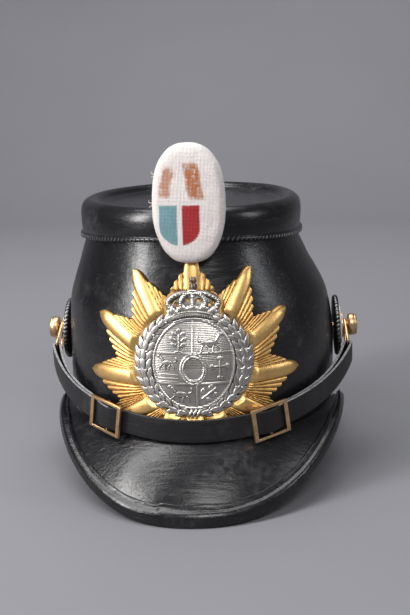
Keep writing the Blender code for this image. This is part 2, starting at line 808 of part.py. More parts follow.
def inner_layer(turn):
    """The under layer's middle above the leather."""
    end = link_bar_out() - turn_radius()
    return strap_rest() + (end - strap_rest()) * spread_share(turn)


def outer_layer(turn):
    """The upper layer's middle above the leather: over the under layer and the buckle's bar, then single."""
    distance = (abs(turn) - abs(buckle_turn(turn))) * HALF_WIDTH
    layers = STRAP_THICKNESS + FIT_GAP
    full = layers + (2 * turn_radius() - layers) * spread_share(turn)
    joined = smooth_share(distance, -BUCKLE_LENGTH * JOIN_START, -BUCKLE_LENGTH * JOIN_END)
    lift = 1 - smooth_share(abs(distance), BUCKLE_LENGTH * LIFT_START, BUCKLE_LENGTH * LIFT_END)
    over_bar = (BUCKLE_CENTRE_BAR + BUCKLE_PLAY) * lift
    return inner_layer(turn) + full * joined + over_bar


def strap_side_turns(side):
    """Turns along a doubled side of the strap, from just before the buckle's bar to the link."""
    length = BUCKLE_LENGTH / HALF_WIDTH
    start = abs(buckle_turn(side))
    near = [start + length * share for share in STRAP_BUCKLE_SHARES]
    count = 8
    sizes = near + [near[-1] + (STRAP_END_TURN - near[-1]) * (i + 1) / count for i in range(count)]
    return [side * size for size in sizes]


def strap_front_turns():
    """Turns across the front, where the strap is single, from right to left."""
    right = strap_side_turns(1)[0]
    left = strap_side_turns(-1)[0]
    count = 22
    return [right + (left - right) * i / count for i in range(1, count)]


def layer_stations(turns, layer, sign):
    """Sections of one layer of the strap; sign turns the section's thickness with the way it runs."""
    stations = []
    for turn in turns:
        point, along, outward, width = strap_frame(turn, layer(turn))
        stations.append((point, sign * outward, width))
    return stations


def strap_stations():
    """Every section of the strap from one end to the other: middle, thickness and width directions."""
    right = strap_side_turns(1)
    left = strap_side_turns(-1)
    stations = layer_stations(right, inner_layer, 1)
    stations += strap_turn(1)
    upper = right[::-1] + strap_front_turns() + left
    stations += layer_stations(upper, outer_layer, -1)
    stations += reversed(strap_turn(-1))
    stations += layer_stations(left[::-1], inner_layer, 1)
    return stations


def strap_turn(side):
    """The half circle in which the strap goes round a link's bar."""
    centre, along, outward, width = strap_frame(side * STRAP_END_TURN, link_bar_out())
    stations = []
    for degrees in (-60, -30, 0, 30, 60):
        angle = math.radians(degrees)
        radial = outward * math.sin(angle) + along * side * math.cos(angle)
        stations.append((centre + radial * turn_radius(), -radial, width))
    return stations


def make_strap(mat):
    """The one leather strap, doubled back through both buckles."""
    half_thickness = STRAP_THICKNESS / 2
    half_width = STRAP_WIDTH / 2
    rings = []
    for point, across, width in strap_stations():
        ring = []
        for a, b in ((1, 1), (1, -1), (-1, -1), (-1, 1)):
            ring.append(point + across * a * half_thickness + width * b * half_width)
        rings.append(ring)
    bm = rings_to_bmesh(rings, close_section=False)
    cap_ends(bm, 4)
    return add_object("chin_strap", bm, mat)


def make_buckle(name, side, mat):
    """A flat rectangular slide buckle with a stepped bar behind the strap."""
    turn = buckle_turn(side)
    point, along, outward, width = strap_frame(turn, 0.0)
    layers = inner_layer(turn) + STRAP_THICKNESS / 2 + FIT_GAP
    edge_turn = turn + side * (BUCKLE_LENGTH / 2 - BUCKLE_SIDE_BAR / 2) / HALF_WIDTH
    sag = (point - strap_frame(edge_turn, 0.0)[0]).dot(outward)
    plate_low = outer_layer(edge_turn) + STRAP_THICKNESS / 2 + BUCKLE_PLAY - sag
    place = Matrix((
        (*along, 0), (*width, 0), (*outward, 0), (0, 0, 0, 1),
    )).transposed()
    place.translation = point
    half_length = BUCKLE_LENGTH / 2
    half_width = BUCKLE_WIDTH / 2
    bm = bmesh.new()
    outer = [(-half_length, -half_width), (half_length, -half_width), (half_length, half_width)]
    outer.append((-half_length, half_width))
    loops = []
    for x, y in outer:
        inner_x = math.copysign(half_length - BUCKLE_SIDE_BAR, x)
        inner_y = math.copysign(half_width - BUCKLE_LONG_BAR, y)
        column = [(x, y, plate_low), (x, y, plate_low + BUCKLE_PLATE)]
        column += [(inner_x, inner_y, plate_low + BUCKLE_PLATE), (inner_x, inner_y, plate_low)]
        loops.append([bm.verts.new(place @ Vector(co)) for co in column])
    for i in range(4):
        here, ahead = loops[i], loops[(i + 1) % 4]
        for j in range(4):
            k = (j + 1) % 4
            bm.faces.new((here[j], ahead[j], ahead[k], here[k]))
    frame = add_object(name, bm, mat)
    bar = make_centre_bar(name + "_bar", place, layers, plate_low, mat)
    union = frame.modifiers.new("centre bar", "BOOLEAN")
    union.operation = "UNION"
    union.object = bar
    return frame


def make_centre_bar(name, place, low, plate_low, mat):
    """The stepped bar of a buckle: legs at both edges and the bar between them."""
    half = BUCKLE_CENTRE_BAR / 2
    outer = BUCKLE_WIDTH / 2 - BUCKLE_LONG_BAR * 0.15
    inner = BUCKLE_WIDTH / 2 - BUCKLE_LONG_BAR * 0.85
    top = plate_low + BUCKLE_PLATE * 0.5
    step = low + BUCKLE_CENTRE_BAR
    outline = [(-outer, low), (outer, low), (outer, top), (inner, top), (inner, step)]
    outline += [(-inner, step), (-inner, top), (-outer, top)]
    bm = bmesh.new()
    for along in (-half, half):
        for y, z in outline:
            bm.verts.new(place @ Vector((along, y, z)))
    bm.verts.ensure_lookup_table()
    count = len(outline)
    near = bm.verts[:count]
    far = bm.verts[count:]
    bm.faces.new(near)
    bm.faces.new(far)
    for i in range(count):
        j = (i + 1) % count
        bm.faces.new((near[i], near[j], far[j], far[i]))
    obj = add_object(name, bm, mat)
    obj.hide_render = True
    obj.display_type = "WIRE"
    return obj


def side_stack():
    """Places along a side post, from the wall's outer face."""
    cockade = COCKADE_STANDOFF
    washer = cockade + COCKADE_THICKNESS + FIT_GAP
    flange = washer + WASHER_THICKNESS + FIT_GAP
    flange_end = flange + FLANGE_THICKNESS
    knob = flange_end + LINK_WIRE + 3 * FIT_GAP
    return {"cockade": cockade, "washer": washer, "flange": flange, "flange_end": flange_end, "knob": knob}


def side_place(side):
    """The frame of a side post: local X runs outwards from the wall, a little upwards."""
    turn = Matrix.Rotation(0.0 if side > 0 else math.pi, 4, "Z")
    tilt = Matrix.Rotation(-POST_TILT, 4, "Y")
    left, right, front, back = half_axes(POST_HEIGHT)
    return Matrix.Translation((right if side > 0 else -left, 0, POST_HEIGHT)) @ turn @ tilt


def pierced_disc(name, place, start, thickness, radius, mat, flutes=0):
    """A disc with a hole for the post's shank, and flutes round its edge if any."""
    hole = SHANK_RADIUS + SHANK_CLEARANCE
    count = 2 * flutes if flutes else 24
    rings = []
    profile = ((hole, 0.0), (radius, 0.0), (radius, 0.7), (radius * 0.96, 1.0), (hole, 1.0))
    for reach, share in profile:
        ring = []
        for i in range(count):
            turn = 2 * math.pi * i / count
            dent = COCKADE_FLUTE_DEPTH if flutes and reach > hole and i % 2 else 0.0
            size = reach - dent
            local = (start + share * thickness, size * math.cos(turn), size * math.sin(turn))
            ring.append(place @ Vector(local))
        rings.append(ring)
    return add_object(name, rings_to_bmesh(rings, close_section=True), mat)


def make_post(name, side, mat):
    """The brass post: inner head, shank, flange and knob in one piece."""
    stack = side_stack()
    inner = -LEATHER - INNER_HEAD_SEAT
    end = POST_OUT
    length = end - stack["knob"]
    profile = [
        (inner - INNER_HEAD, 0.0),
        (inner - INNER_HEAD, INNER_HEAD_RADIUS),
        (inner, INNER_HEAD_RADIUS),
        (inner, SHANK_RADIUS),
        (stack["flange"], SHANK_RADIUS),
        (stack["flange"], FLANGE_RADIUS),
        (stack["flange_end"], FLANGE_RADIUS),
        (stack["flange_end"], SHANK_RADIUS),
        (stack["knob"], SHANK_RADIUS),
    ]
    for row in KNOB_PROFILE:
        profile.append((stack["knob"] + row.along * length, row.radius * KNOB_RADIUS))
    profile.append((end, 0.0))
    return revolved(name, profile, side_place(side), mat)


def link_outline(pin_down, pin_up):
    """The link's wire in its own plane: round a pin at (pin_down, pin_up), with the bar on the second axis."""
    ring = SHANK_RADIUS + SHANK_CLEARANCE + LINK_WIRE / 2
    centre = Vector((pin_down, pin_up))
    tangents = []
    for sign in (1, -1):
        shoulder = Vector((-link_shoulder(), sign * LINK_HALF_WIDTH))
        away = shoulder - centre
        tangents.append(math.atan2(away.y, away.x) + sign * math.acos(ring / away.length))
    start, end = tangents[0], tangents[1] + 2 * math.pi
    steps = 7
    angles = [start + (end - start) * i / steps for i in range(steps + 1)]
    arc = [centre + ring * Vector((math.cos(angle), math.sin(angle))) for angle in angles]
    points = list(arc)
    for sign in (-1, 1):
        shoulder = Vector((-link_shoulder(), sign * LINK_HALF_WIDTH))
        corner = Vector((0.0, sign * LINK_HALF_WIDTH))
        arm = Vector((-LINK_CORNER, 0.0))
        bar = Vector((0.0, -sign * LINK_CORNER))
        bend = [shoulder, corner + arm, corner + (arm + bar) * 0.3, corner + bar]
        points += bend if sign < 0 else bend[::-1]
    return points


def link_shoulder():
    """How far a link's sides run straight, past the strap's turn round its bar."""
    return turn_radius() + STRAP_THICKNESS / 2 + FIT_GAP + LINK_WIRE / 2


def make_link(name, side, mat):
    """The wire link: round the post's shank at one end, a straight bar for the strap at the other."""
    stack = side_stack()
    post = side_place(side) @ Vector((stack["flange_end"] + FIT_GAP + LINK_WIRE / 2, 0, 0))
    bar, along, outward, width = strap_frame(side * STRAP_END_TURN, link_bar_out())
    to_bar = bar - post
    down = (to_bar - width * width.dot(to_bar)).normalized()
    points = [bar + down * x + width * y for x, y in link_outline(-to_bar.dot(down), -to_bar.dot(width))]
    curve = bpy.data.curves.new(name, "CURVE")
    curve.dimensions = "3D"
    curve.bevel_depth = LINK_WIRE / 2
    curve.bevel_resolution = 2
    spline = curve.splines.new("POLY")
    spline.points.add(len(points) - 1)
    for i, point in enumerate(points):
        spline.points[i].co = (*point, 1.0)
    spline.use_cyclic_u = True
    curve.materials.append(mat)
    obj = bpy.data.objects.new(name, curve)
    bpy.context.collection.objects.link(obj)
    return obj


def main():
    """Builds the hat and centres it over the surface's origin."""
    clear_scene()
    leather = material("black leather", (0.012, 0.012, 0.013), 0.32)
    strap_leather = material("strap leather", (0.02, 0.02, 0.022), 0.5)
    gilt = material("gilt brass", (0.85, 0.58, 0.2), 0.3, 1.0)
    silver = material("white metal", (0.55, 0.53, 0.5), 0.35, 1.0)
    brass = material("brass", (0.72, 0.52, 0.28), 0.3, 1.0)
    cotton = material("white cotton", (0.82, 0.78, 0.72), 0.9)
    cockade_black = material("cockade black", (0.02, 0.02, 0.02), 0.5)
    disc_white = material("white disc", (0.8, 0.8, 0.78), 0.6)

    body = make_crown_body(leather)
    top = make_crown_top(leather)
    make_peak("front_peak", leather, FRONT_REACH, backward=False, drop=0.0)
    rear_drop = BINDING_THICKNESS + BINDING_GAP + PEAK_SETTLE / 2
    rear = make_peak("rear_peak", leather, REAR_REACH, backward=True, drop=rear_drop)
    binding = make_binding(leather)
    make_star_plate(gilt)
    make_wreath_and_crown(silver)
    make_shield(silver)
    badge = make_badge(cotton)
    make_pin(brass, body, top, badge)
    make_strap(strap_leather)
    for word, side in (("left", -1), ("right", 1)):
        make_buckle("buckle_" + word, side, brass)
        place = side_place(side)
        stack = side_stack()
        start = place @ Vector((-4 * LEATHER, 0, 0))
        end = place @ Vector((4 * LEATHER, 0, 0))
        cutter = cylinder_cutter("post_hole_cutter_" + word, start, end, SHANK_RADIUS + SHANK_CLEARANCE)
        cut(body, cutter)
        pierced_disc(
            "cockade_" + word, place, stack["cockade"], COCKADE_THICKNESS, COCKADE_RADIUS, cockade_black,
            flutes=COCKADE_FLUTES,
        )
        washer = "cockade_washer_" + word
        pierced_disc(washer, place, stack["washer"], WASHER_THICKNESS, WASHER_RADIUS, disc_white)
        make_post("side_post_" + word, side, brass)
        make_link("strap_loop_" + word, side, brass)

    hat = bpy.data.objects.new("hat", None)
    bpy.context.collection.objects.link(hat)
    for obj in bpy.data.objects:
        if obj != hat:
            obj.parent = hat
    front_end = min(vert.co.y for vert in binding.data.vertices)
    rear_end = max(vert.co.y for vert in rear.data.vertices)
    hat.location = (0, -(front_end + rear_end) / 2, 0)


main()
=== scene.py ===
"""A leather shako hat with star plate, field badge and chin strap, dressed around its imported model."""
import logging
import math
from dataclasses import dataclass
from enum import Enum
from typing import Callable, Optional, Sequence

import bmesh
import bpy
from mathutils import Matrix, Vector, noise


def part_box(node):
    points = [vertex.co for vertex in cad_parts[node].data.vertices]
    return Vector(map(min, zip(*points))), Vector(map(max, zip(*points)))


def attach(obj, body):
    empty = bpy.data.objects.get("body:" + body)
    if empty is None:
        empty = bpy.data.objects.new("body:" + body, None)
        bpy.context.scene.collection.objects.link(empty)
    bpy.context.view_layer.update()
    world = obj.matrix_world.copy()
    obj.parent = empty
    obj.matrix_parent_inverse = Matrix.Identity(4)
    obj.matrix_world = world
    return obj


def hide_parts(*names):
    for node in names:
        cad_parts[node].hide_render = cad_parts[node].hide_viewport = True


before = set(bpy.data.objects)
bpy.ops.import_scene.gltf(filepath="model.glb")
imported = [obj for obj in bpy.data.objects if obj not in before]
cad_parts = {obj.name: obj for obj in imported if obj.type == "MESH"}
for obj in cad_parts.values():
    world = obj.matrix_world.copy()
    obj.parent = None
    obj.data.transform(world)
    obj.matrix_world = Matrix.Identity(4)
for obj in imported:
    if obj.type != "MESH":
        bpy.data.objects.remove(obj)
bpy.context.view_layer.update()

BODY = "root"
logging.basicConfig(level=logging.INFO, format="%(message)s")
LOG = logging.getLogger("shako")

Colour = tuple[float, float, float]
Triple = tuple[float, float, float]
Pair = tuple[float, float]
Mesh = bmesh.types.BMesh
Socket = bpy.types.NodeSocket
Material = bpy.types.Material
Object = bpy.types.Object
GridShape = Callable[[float, int], Vector]
GridTone = Callable[[float, int], float]

TURN = math.tau
QUARTER = math.pi / 2
MERGE_GRID = 2e-6
MERGE_NODE = 1e-6


class Side(Enum):
    """The two sides of the hat, as signs along X."""

    LEFT = -1
    RIGHT = 1

    @property
    def word(self) -> str:
        """The side's name in the model's nodes."""
        return self.name.lower()


def smooth_share(value: float, start: float, end: float) -> float:
    """Eases from 0 at start to 1 at end.

    Args:
        value: the place to read.
        start: where the share is 0.
        end: where the share is 1.

    Returns:
        The eased share.
    """
    share = min(max((value - start) / (end - start), 0.0), 1.0)
    return share * share * (3 - 2 * share)


def catmull(before: float, start: float, end: float, after: float, share: float) -> float:
    """A smooth value between start and end.

    Args:
        before: the value one row before start.
        start: the value at share 0.
        end: the value at share 1.
        after: the value one row after end.
        share: the place between start and end.

    Returns:
        The value on the smooth line.
    """
    slope_in = (end - before) / 2
    slope_out = (after - start) / 2
    s2 = share * share
    s3 = s2 * share
    value = (2 * s3 - 3 * s2 + 1) * start + (s3 - 2 * s2 + share) * slope_in
    return value + (3 * s2 - 2 * s3) * end + (s3 - s2) * slope_out


def smooth_rows(rows: Sequence[Sequence[float]], steps: int) -> list[tuple[float, ...]]:
    """Fills a table of rows with smooth rows between its own.

    Args:
        rows: the table, with as many columns in each row.
        steps: how many rows come from each pair of the table's rows.

    Returns:
        The finer table, which keeps the table's own rows.
    """
    fine: list[tuple[float, ...]] = []
    last = len(rows) - 1
    for i in range(last):
        before, after = rows[max(i - 1, 0)], rows[min(i + 2, last)]
        for step in range(steps):
            share = step / steps
            cells = zip(before, rows[i], rows[i + 1], after)
            fine.append(tuple(catmull(a, b, c, d, share) for a, b, c, d in cells))
    fine.append(tuple(rows[last]))
    return fine


def waver(point: Vector, scale: float, seed: float = 0.0) -> float:
    """Soft noise from about -1 to 1 at a point, with bumps of about the given size in metres."""
    return noise.noise(point / scale + Vector((seed, seed * 1.7, -seed)))


@dataclass(frozen=True)
class WallShape:
    """The oval leather wall that every other piece is laid on."""

    rim_height: float = 0.036
    wall_height: float = 0.123
    half_width: float = 0.086
    half_length: float = 0.103
    leather: float = 0.002
    fit_gap: float = 0.0003
    sections: tuple[tuple[float, ...], ...] = (
        (0.00, 1.000, 1.000, 1.000, 1.000),
        (0.21, 1.004, 1.002, 0.998, 1.000),
        (0.35, 1.000, 1.000, 0.985, 0.990),
        (0.46, 0.998, 0.980, 0.962, 0.970),
        (0.57, 0.985, 0.946, 0.932, 0.942),
        (0.65, 0.953, 0.892, 0.902, 0.912),
        (0.75, 0.905, 0.810, 0.865, 0.877),
        (0.88, 0.853, 0.730, 0.822, 0.837),
        (1.00, 0.845, 0.722, 0.802, 0.822),
    )

    @property
    def top_height(self) -> float:
        """The height of the wall's upper edge above the surface."""
        return self.rim_height + self.wall_height

    def half_axes(self, height: float) -> tuple[float, float, float, float]:
        """The wall's half axes at a height.

        Args:
            height: the height above the surface.

        Returns:
            The left, right, front and back half axes.
        """
        share = min(max((height - self.rim_height) / self.wall_height, 0.0), 1.0)
        rows = self.sections
        row = 0
        while row < len(rows) - 2 and rows[row + 1][0] < share:
            row += 1
        low, high = rows[row], rows[row + 1]
        before, after = rows[max(row - 1, 0)], rows[min(row + 2, len(rows) - 1)]
        part = (share - low[0]) / (high[0] - low[0])
        axes = (self.half_width, self.half_width, self.half_length, self.half_length)
        left, right, front, back = (catmull(before[i], low[i], high[i], after[i], part) * axes[i - 1]
                                    for i in range(1, 5))
        return left, right, front, back

    def normal(self, turn: float, across: float, along: float) -> Vector:
        """The level outward direction of an oval with these half axes."""
        return Vector((along * math.sin(turn), -across * math.cos(turn), 0.0)).normalized()

    def point(self, turn: float, height: float, out: float = 0.0) -> Vector:
        """A point of the wall.

        Args:
            turn: the turn from the front towards +X.
            height: the height above the surface.
            out: how far it is moved outwards, level.

        Returns:
            The point.
        """
        left, right, front, back = self.half_axes(height)
        across = right if math.sin(turn) >= 0 else left
        along = front if math.cos(turn) >= 0 else back
        place = Vector((across * math.sin(turn), -along * math.cos(turn), height))
        return place + out * self.normal(turn, across, along)

    def wrap(self, across: float, height: float, out: float) -> Vector:
        """Lays a flat point on the front of the wall.

        Args:
            across: the place across, measured along the wall's curve.
            height: the height above the surface.
            out: how far it lies outside the wall.

        Returns:
            The point.
        """
        left, right, front, back = self.half_axes(height)
        half = right if across >= 0 else left
        stretch = (front * front - half * half) / (half * half)
        turn = across / half
        for _ in range(4):
            turn = across / (half * (1 + stretch * turn * turn / 6))
        return self.point(turn, height, out)


WALL = WallShape()


def hat_shift() -> Vector:
    """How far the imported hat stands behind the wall's own middle."""
    low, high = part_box("crown_body")
    return Vector((0.0, (low[1] + high[1]) / 2, 0.0))


SHIFT = hat_shift()


class Board:
    """A material's nodes, with short calls for those that the finishes use."""

    def __init__(self, name: str) -> None:
        """Starts a material with its Principled shader.

        Args:
            name: the material's name.
        """
        self.material = bpy.data.materials.new(name)
        self.material.use_nodes = True
        self.tree = self.material.node_tree
        self.shader = self.tree.nodes["Principled BSDF"]

    def node(self, kind: str, **inputs: object) -> bpy.types.Node:
        """Adds a node and sets or links its inputs.

        Args:
            kind: the node's type.
            inputs: a value or a socket for each input, with underscores for spaces.

        Returns:
            The node.
        """
        made = self.tree.nodes.new(kind)
        for key, value in inputs.items():
            self.feed(made.inputs[key.replace("_", " ")], value)
        return made

    def feed(self, socket: Socket, value: object) -> None:
        """Links a socket to an output, or sets its value.

        Args:
            socket: the input.
            value: an output to link, or the value to set.
        """
        if isinstance(value, Socket):
            self.tree.links.new(value, socket)
        elif isinstance(value, tuple) and len(value) == 3 and socket.type == "RGBA":
            socket.default_value = (*value, 1.0)
        else:
            socket.default_value = value

    def set(self, **inputs: object) -> None:
        """Sets or links the shader's own sockets."""
        for key, value in inputs.items():
            self.feed(self.shader.inputs[key.replace("_", " ")], value)

    def coords(self, stretch: Triple = (1.0, 1.0, 1.0), turn: Triple = (0.0, 0.0, 0.0)) -> Socket:
        """Object coordinates, stretched and turned."""
        place = self.tree.nodes.new("ShaderNodeTexCoord").outputs["Object"]
        return self.node("ShaderNodeMapping", Vector=place, Scale=stretch, Rotation=turn).outputs["Vector"]

    def axis(self, name: str) -> Socket:
        """One coordinate of the object's own space."""
        return self.node("ShaderNodeSeparateXYZ", Vector=self.coords()).outputs[name]

    def attribute(self, name: str, output: str = "Fac") -> Socket:
        """A value that the mesh carries."""
        made = self.tree.nodes.new("ShaderNodeAttribute")
        made.attribute_name = name
        return made.outputs[output]

    def noise(self, vector: Socket, scale: float, detail: float = 3.0, roughness: float = 0.5) -> Socket:
        """A noise value from 0 to 1."""
        made = self.node("ShaderNodeTexNoise", Vector=vector, Scale=scale, Detail=detail, Roughness=roughness)
        return made.outputs["Fac"]

    def wave(self, vector: Socket, scale: float, distortion: float = 0.0, direction: str = "X") -> Socket:
        """A band pattern from 0 to 1 across one axis."""
        made = self.node("ShaderNodeTexWave", Vector=vector, Scale=scale, Distortion=distortion)
        made.bands_direction = direction
        return made.outputs["Fac"]

    def span(self, value: Socket, low: float, high: float, to_low: float = 0.0,
             to_high: float = 1.0) -> Socket:
        """Maps a range to another, held at its ends."""
        made = self.node("ShaderNodeMapRange", Value=value, From_Min=low, From_Max=high, To_Min=to_low,
                         To_Max=to_high)
        return made.outputs["Result"]

    def math(self, kind: str, first: object, second: object) -> Socket:
        """One sum of two values or sockets.

        Args:
            kind: the operation's name.
            first: the first value.
            second: the second value.

        Returns:
            The result.
        """
        made = self.tree.nodes.new("ShaderNodeMath")
        made.operation = kind
        self.feed(made.inputs[0], first)
        self.feed(made.inputs[1], second)
        return made.outputs[0]

    def mix(self, factor: Socket, first: object, second: object) -> Socket:
        """A blend of two colours.

        Args:
            factor: how much of the second colour there is.
            first: the first colour.
            second: the second colour.

        Returns:
            The blend.
        """
        made = self.tree.nodes.new("ShaderNodeMix")
        made.data_type = "RGBA"
        self.feed(made.inputs[0], factor)
        self.feed(made.inputs[6], first)
        self.feed(made.inputs[7], second)
        return made.outputs[2]

    def bump(self, height: Socket, depth: float, strength: float = 1.0,
             normal: Optional[Socket] = None) -> Socket:
        """A bump in the surface's shading.

        Args:
            height: the pattern.
            depth: the bump's depth in metres.
            strength: how much of it counts.
            normal: another bump to lay it over.

        Returns:
            The normal.
        """
        made = self.node("ShaderNodeBump", Height=height, Distance=depth, Strength=strength)
        if normal is not None:
            self.feed(made.inputs["Normal"], normal)
        return made.outputs["Normal"]


@dataclass(frozen=True)
class Leather:
    """Polished black leather with grain, dull patches, scuffs and fine scratches."""

    name: str
    base: Colour = (0.0052, 0.0050, 0.0064)
    scuff: Colour = (0.070, 0.070, 0.074)
    shine: float = 0.24
    dull: float = 0.40
    scratch_stretch: Colour = (30.0, 240.0, 420.0)
    scratches: float = 0.35
    grain_depth: float = 0.00014
    crease_depth: float = 0.0004

    def make(self) -> Material:
        """Builds the material's nodes.

        Returns:
            The material.
        """
        board = Board(self.name)
        place = board.coords()
        patches = board.noise(place, 24.0, 6.0, 0.62)
        cloud = board.noise(place, 9.0, 3.0, 0.5)
        fine = board.noise(place, 260.0, 4.0, 0.6)
        lines = board.noise(board.coords(self.scratch_stretch, (0.0, 0.06, 0.0)), 1.0, 4.0, 0.6)
        scratch = board.span(lines, 0.60, 0.74)
        worn = board.math("MULTIPLY", board.span(patches, 0.56, 0.74), board.span(fine, 0.36, 0.66))
        faint = board.math("MULTIPLY", scratch, self.scratches)
        marks = board.math("MAXIMUM", board.math("MULTIPLY", worn, 0.55), faint)
        board.set(Base_Color=board.mix(marks, self.base, self.scuff))
        rough = board.span(board.math("ADD", cloud, board.math("MULTIPLY", fine, 0.35)), 0.45, 0.85,
                           self.shine, self.dull)
        board.set(Roughness=board.math("ADD", rough, board.math("MULTIPLY", marks, 0.18)))
        board.set(Specular_IOR_Level=0.40, Coat_Weight=0.10, Coat_Roughness=0.20)
        grain = board.noise(place, 760.0, 3.0, 0.55)
        low = board.bump(grain, self.grain_depth, 0.6)
        ripples = board.noise(board.coords((1.0, 1.0, 0.55)), 70.0, 4.0, 0.50)
        low = board.bump(ripples, self.crease_depth, 0.5, low)
        board.set(Normal=board.bump(lines, self.grain_depth * 2.2, 0.8, low))
        return board.material


@dataclass(frozen=True)
class StruckMetal:
    """Struck sheet metal, coloured by the mesh's tone: painted highlight on its ridges and front faces,
    painted shade in its hollows and on faces turned away.
    """

    name: str
    # bright is the painted highlight colour, hollow the painted shade colour.
    bright: Colour
    hollow: Colour
    shine: float
    dull: float
    pits: float = 0.0
    pit_colour: Colour = (0.10, 0.045, 0.02)
    line_depth: float = 0.0

    def make(self) -> Material:
        """Builds the material's nodes.

        Returns:
            The material.
        """
        board = Board(self.name)
        place = board.coords()
        cloud = board.noise(place, 90.0, 5.0, 0.6)
        speck = board.noise(place, 520.0, 3.0, 0.6)
        tone = board.attribute("tone")
        # The mesh's tone is painted light: low tone gives painted shade in the hollow colour, high tone a
        # painted highlight in the bright colour.
        lit = board.math("ADD", tone, board.span(cloud, 0.3, 0.7, -0.22, 0.18))
        lit = board.span(lit, 0.05, 0.95)
        shade = board.mix(lit, self.hollow, self.bright)
        if self.pits:
            pits = board.span(board.noise(place, 330.0, 2.0, 0.5), 0.70, 0.76, 0.0, self.pits)
            shade = board.mix(pits, shade, self.pit_colour)
        board.set(Base_Color=shade, Metallic=1.0)
        board.set(Roughness=board.span(board.math("ADD", lit, speck), 0.3, 1.6, self.dull, self.shine))
        normal = board.bump(cloud, 0.00022, 0.5, board.bump(speck, 0.00007, 0.6))
        if self.line_depth:
            rule = board.wave(board.coords(), 330.0, 0.6, "Z")
            normal = board.bump(rule, self.line_depth, 0.6, normal)
        board.set(Normal=normal)
        return board.material


@dataclass(frozen=True)
class WornBrass:
    """Plain brass bar or turned brass, with brown wear in patches."""

    name: str
    bright: Colour = (0.72, 0.49, 0.27)
    brown: Colour = (0.30, 0.16, 0.08)
    shine: float = 0.24

    def make(self) -> Material:
        """Builds the material's nodes.

        Returns:
            The material.
        """
        board = Board(self.name)
        place = board.coords()
        cloud = board.noise(place, 160.0, 5.0, 0.65)
        fine = board.noise(place, 900.0, 3.0, 0.5)
        board.set(Base_Color=board.mix(board.span(cloud, 0.42, 0.80), self.bright, self.brown), Metallic=1.0)
        board.set(Roughness=board.span(cloud, 0.3, 0.8, self.shine, self.shine + 0.25))
        board.set(Normal=board.bump(fine, 0.00005, 0.5))
        return board.material


@dataclass(frozen=True)
class WovenCotton:
    """Fine white cotton with painted shade between its threads, and a printed parted shield and two worn
    stains, which the mesh's tones give.
    """

    name: str
    white: Colour = (0.95, 0.91, 0.895)
    shade: Colour = (0.76, 0.69, 0.665)
    blue: Colour = (0.165, 0.325, 0.365)
    red: Colour = (0.36, 0.006, 0.012)
    stain: Colour = (0.43, 0.125, 0.020)
    thread: float = 0.00076

    def make(self) -> Material:
        """Builds the material's nodes.

        Returns:
            The material.
        """
        board = Board(self.name)
        flat = board.attribute("flat", "Vector")
        pitch = math.pi / (10 * self.thread)
        warp = board.wave(flat, pitch, 1.2, "X")
        weft = board.wave(flat, pitch, 1.2, "Y")
        weave = board.math("MULTIPLY", warp, weft)
        slub = board.noise(flat, 420.0, 3.0, 0.6)
        soil = board.noise(flat, 60.0, 5.0, 0.6)
        # The shade colour is painted shade in the weave's gaps between threads, and below it also the grey of
        # the soil patches.
        cloth = board.mix(board.span(weave, 0.0, 0.55), self.shade, self.white)
        cloth = board.mix(board.span(soil, 0.45, 0.8, 0.0, 0.40), cloth, self.shade)
        thin = board.span(weave, 0.02, 0.3, 0.93, 1.0)
        for name, colour in (("blue", self.blue), ("red", self.red)):
            cloth = board.mix(board.math("MULTIPLY", board.attribute(name), thin), cloth, colour)
        caught = board.span(weave, 0.03, 0.30, 0.34, 1.25)
        threads = board.math("MULTIPLY", caught, board.span(slub, 0.26, 0.46))
        worn = board.math("MULTIPLY", board.attribute("stain"), threads)
        board.set(Base_Color=board.mix(worn, cloth, self.stain), Roughness=0.9, Specular_IOR_Level=0.2)
        low = board.bump(weave, 0.00055, 0.9)
        board.set(Normal=board.bump(slub, 0.00016, 0.5, low))
        return board.material


@dataclass(frozen=True)
class Paint:
    """A painted or cut surface of one colour with wear and soil."""

    name: str
    base: Colour
    wear: Colour
    roughness: float = 0.5
    scale: float = 120.0
    depth: float = 0.0001
    metallic: float = 0.0

    def make(self) -> Material:
        """Builds the material's nodes.

        Returns:
            The material.
        """
        board = Board(self.name)
        place = board.coords()
        cloud = board.noise(place, self.scale, 5.0, 0.65)
        board.set(Base_Color=board.mix(board.span(cloud, 0.42, 0.72), self.base, self.wear))
        board.set(Roughness=board.span(cloud, 0.3, 0.7, self.roughness, self.roughness + 0.15))
        board.set(Metallic=self.metallic)
        board.set(Normal=board.bump(cloud, self.depth, 0.6))
        return board.material


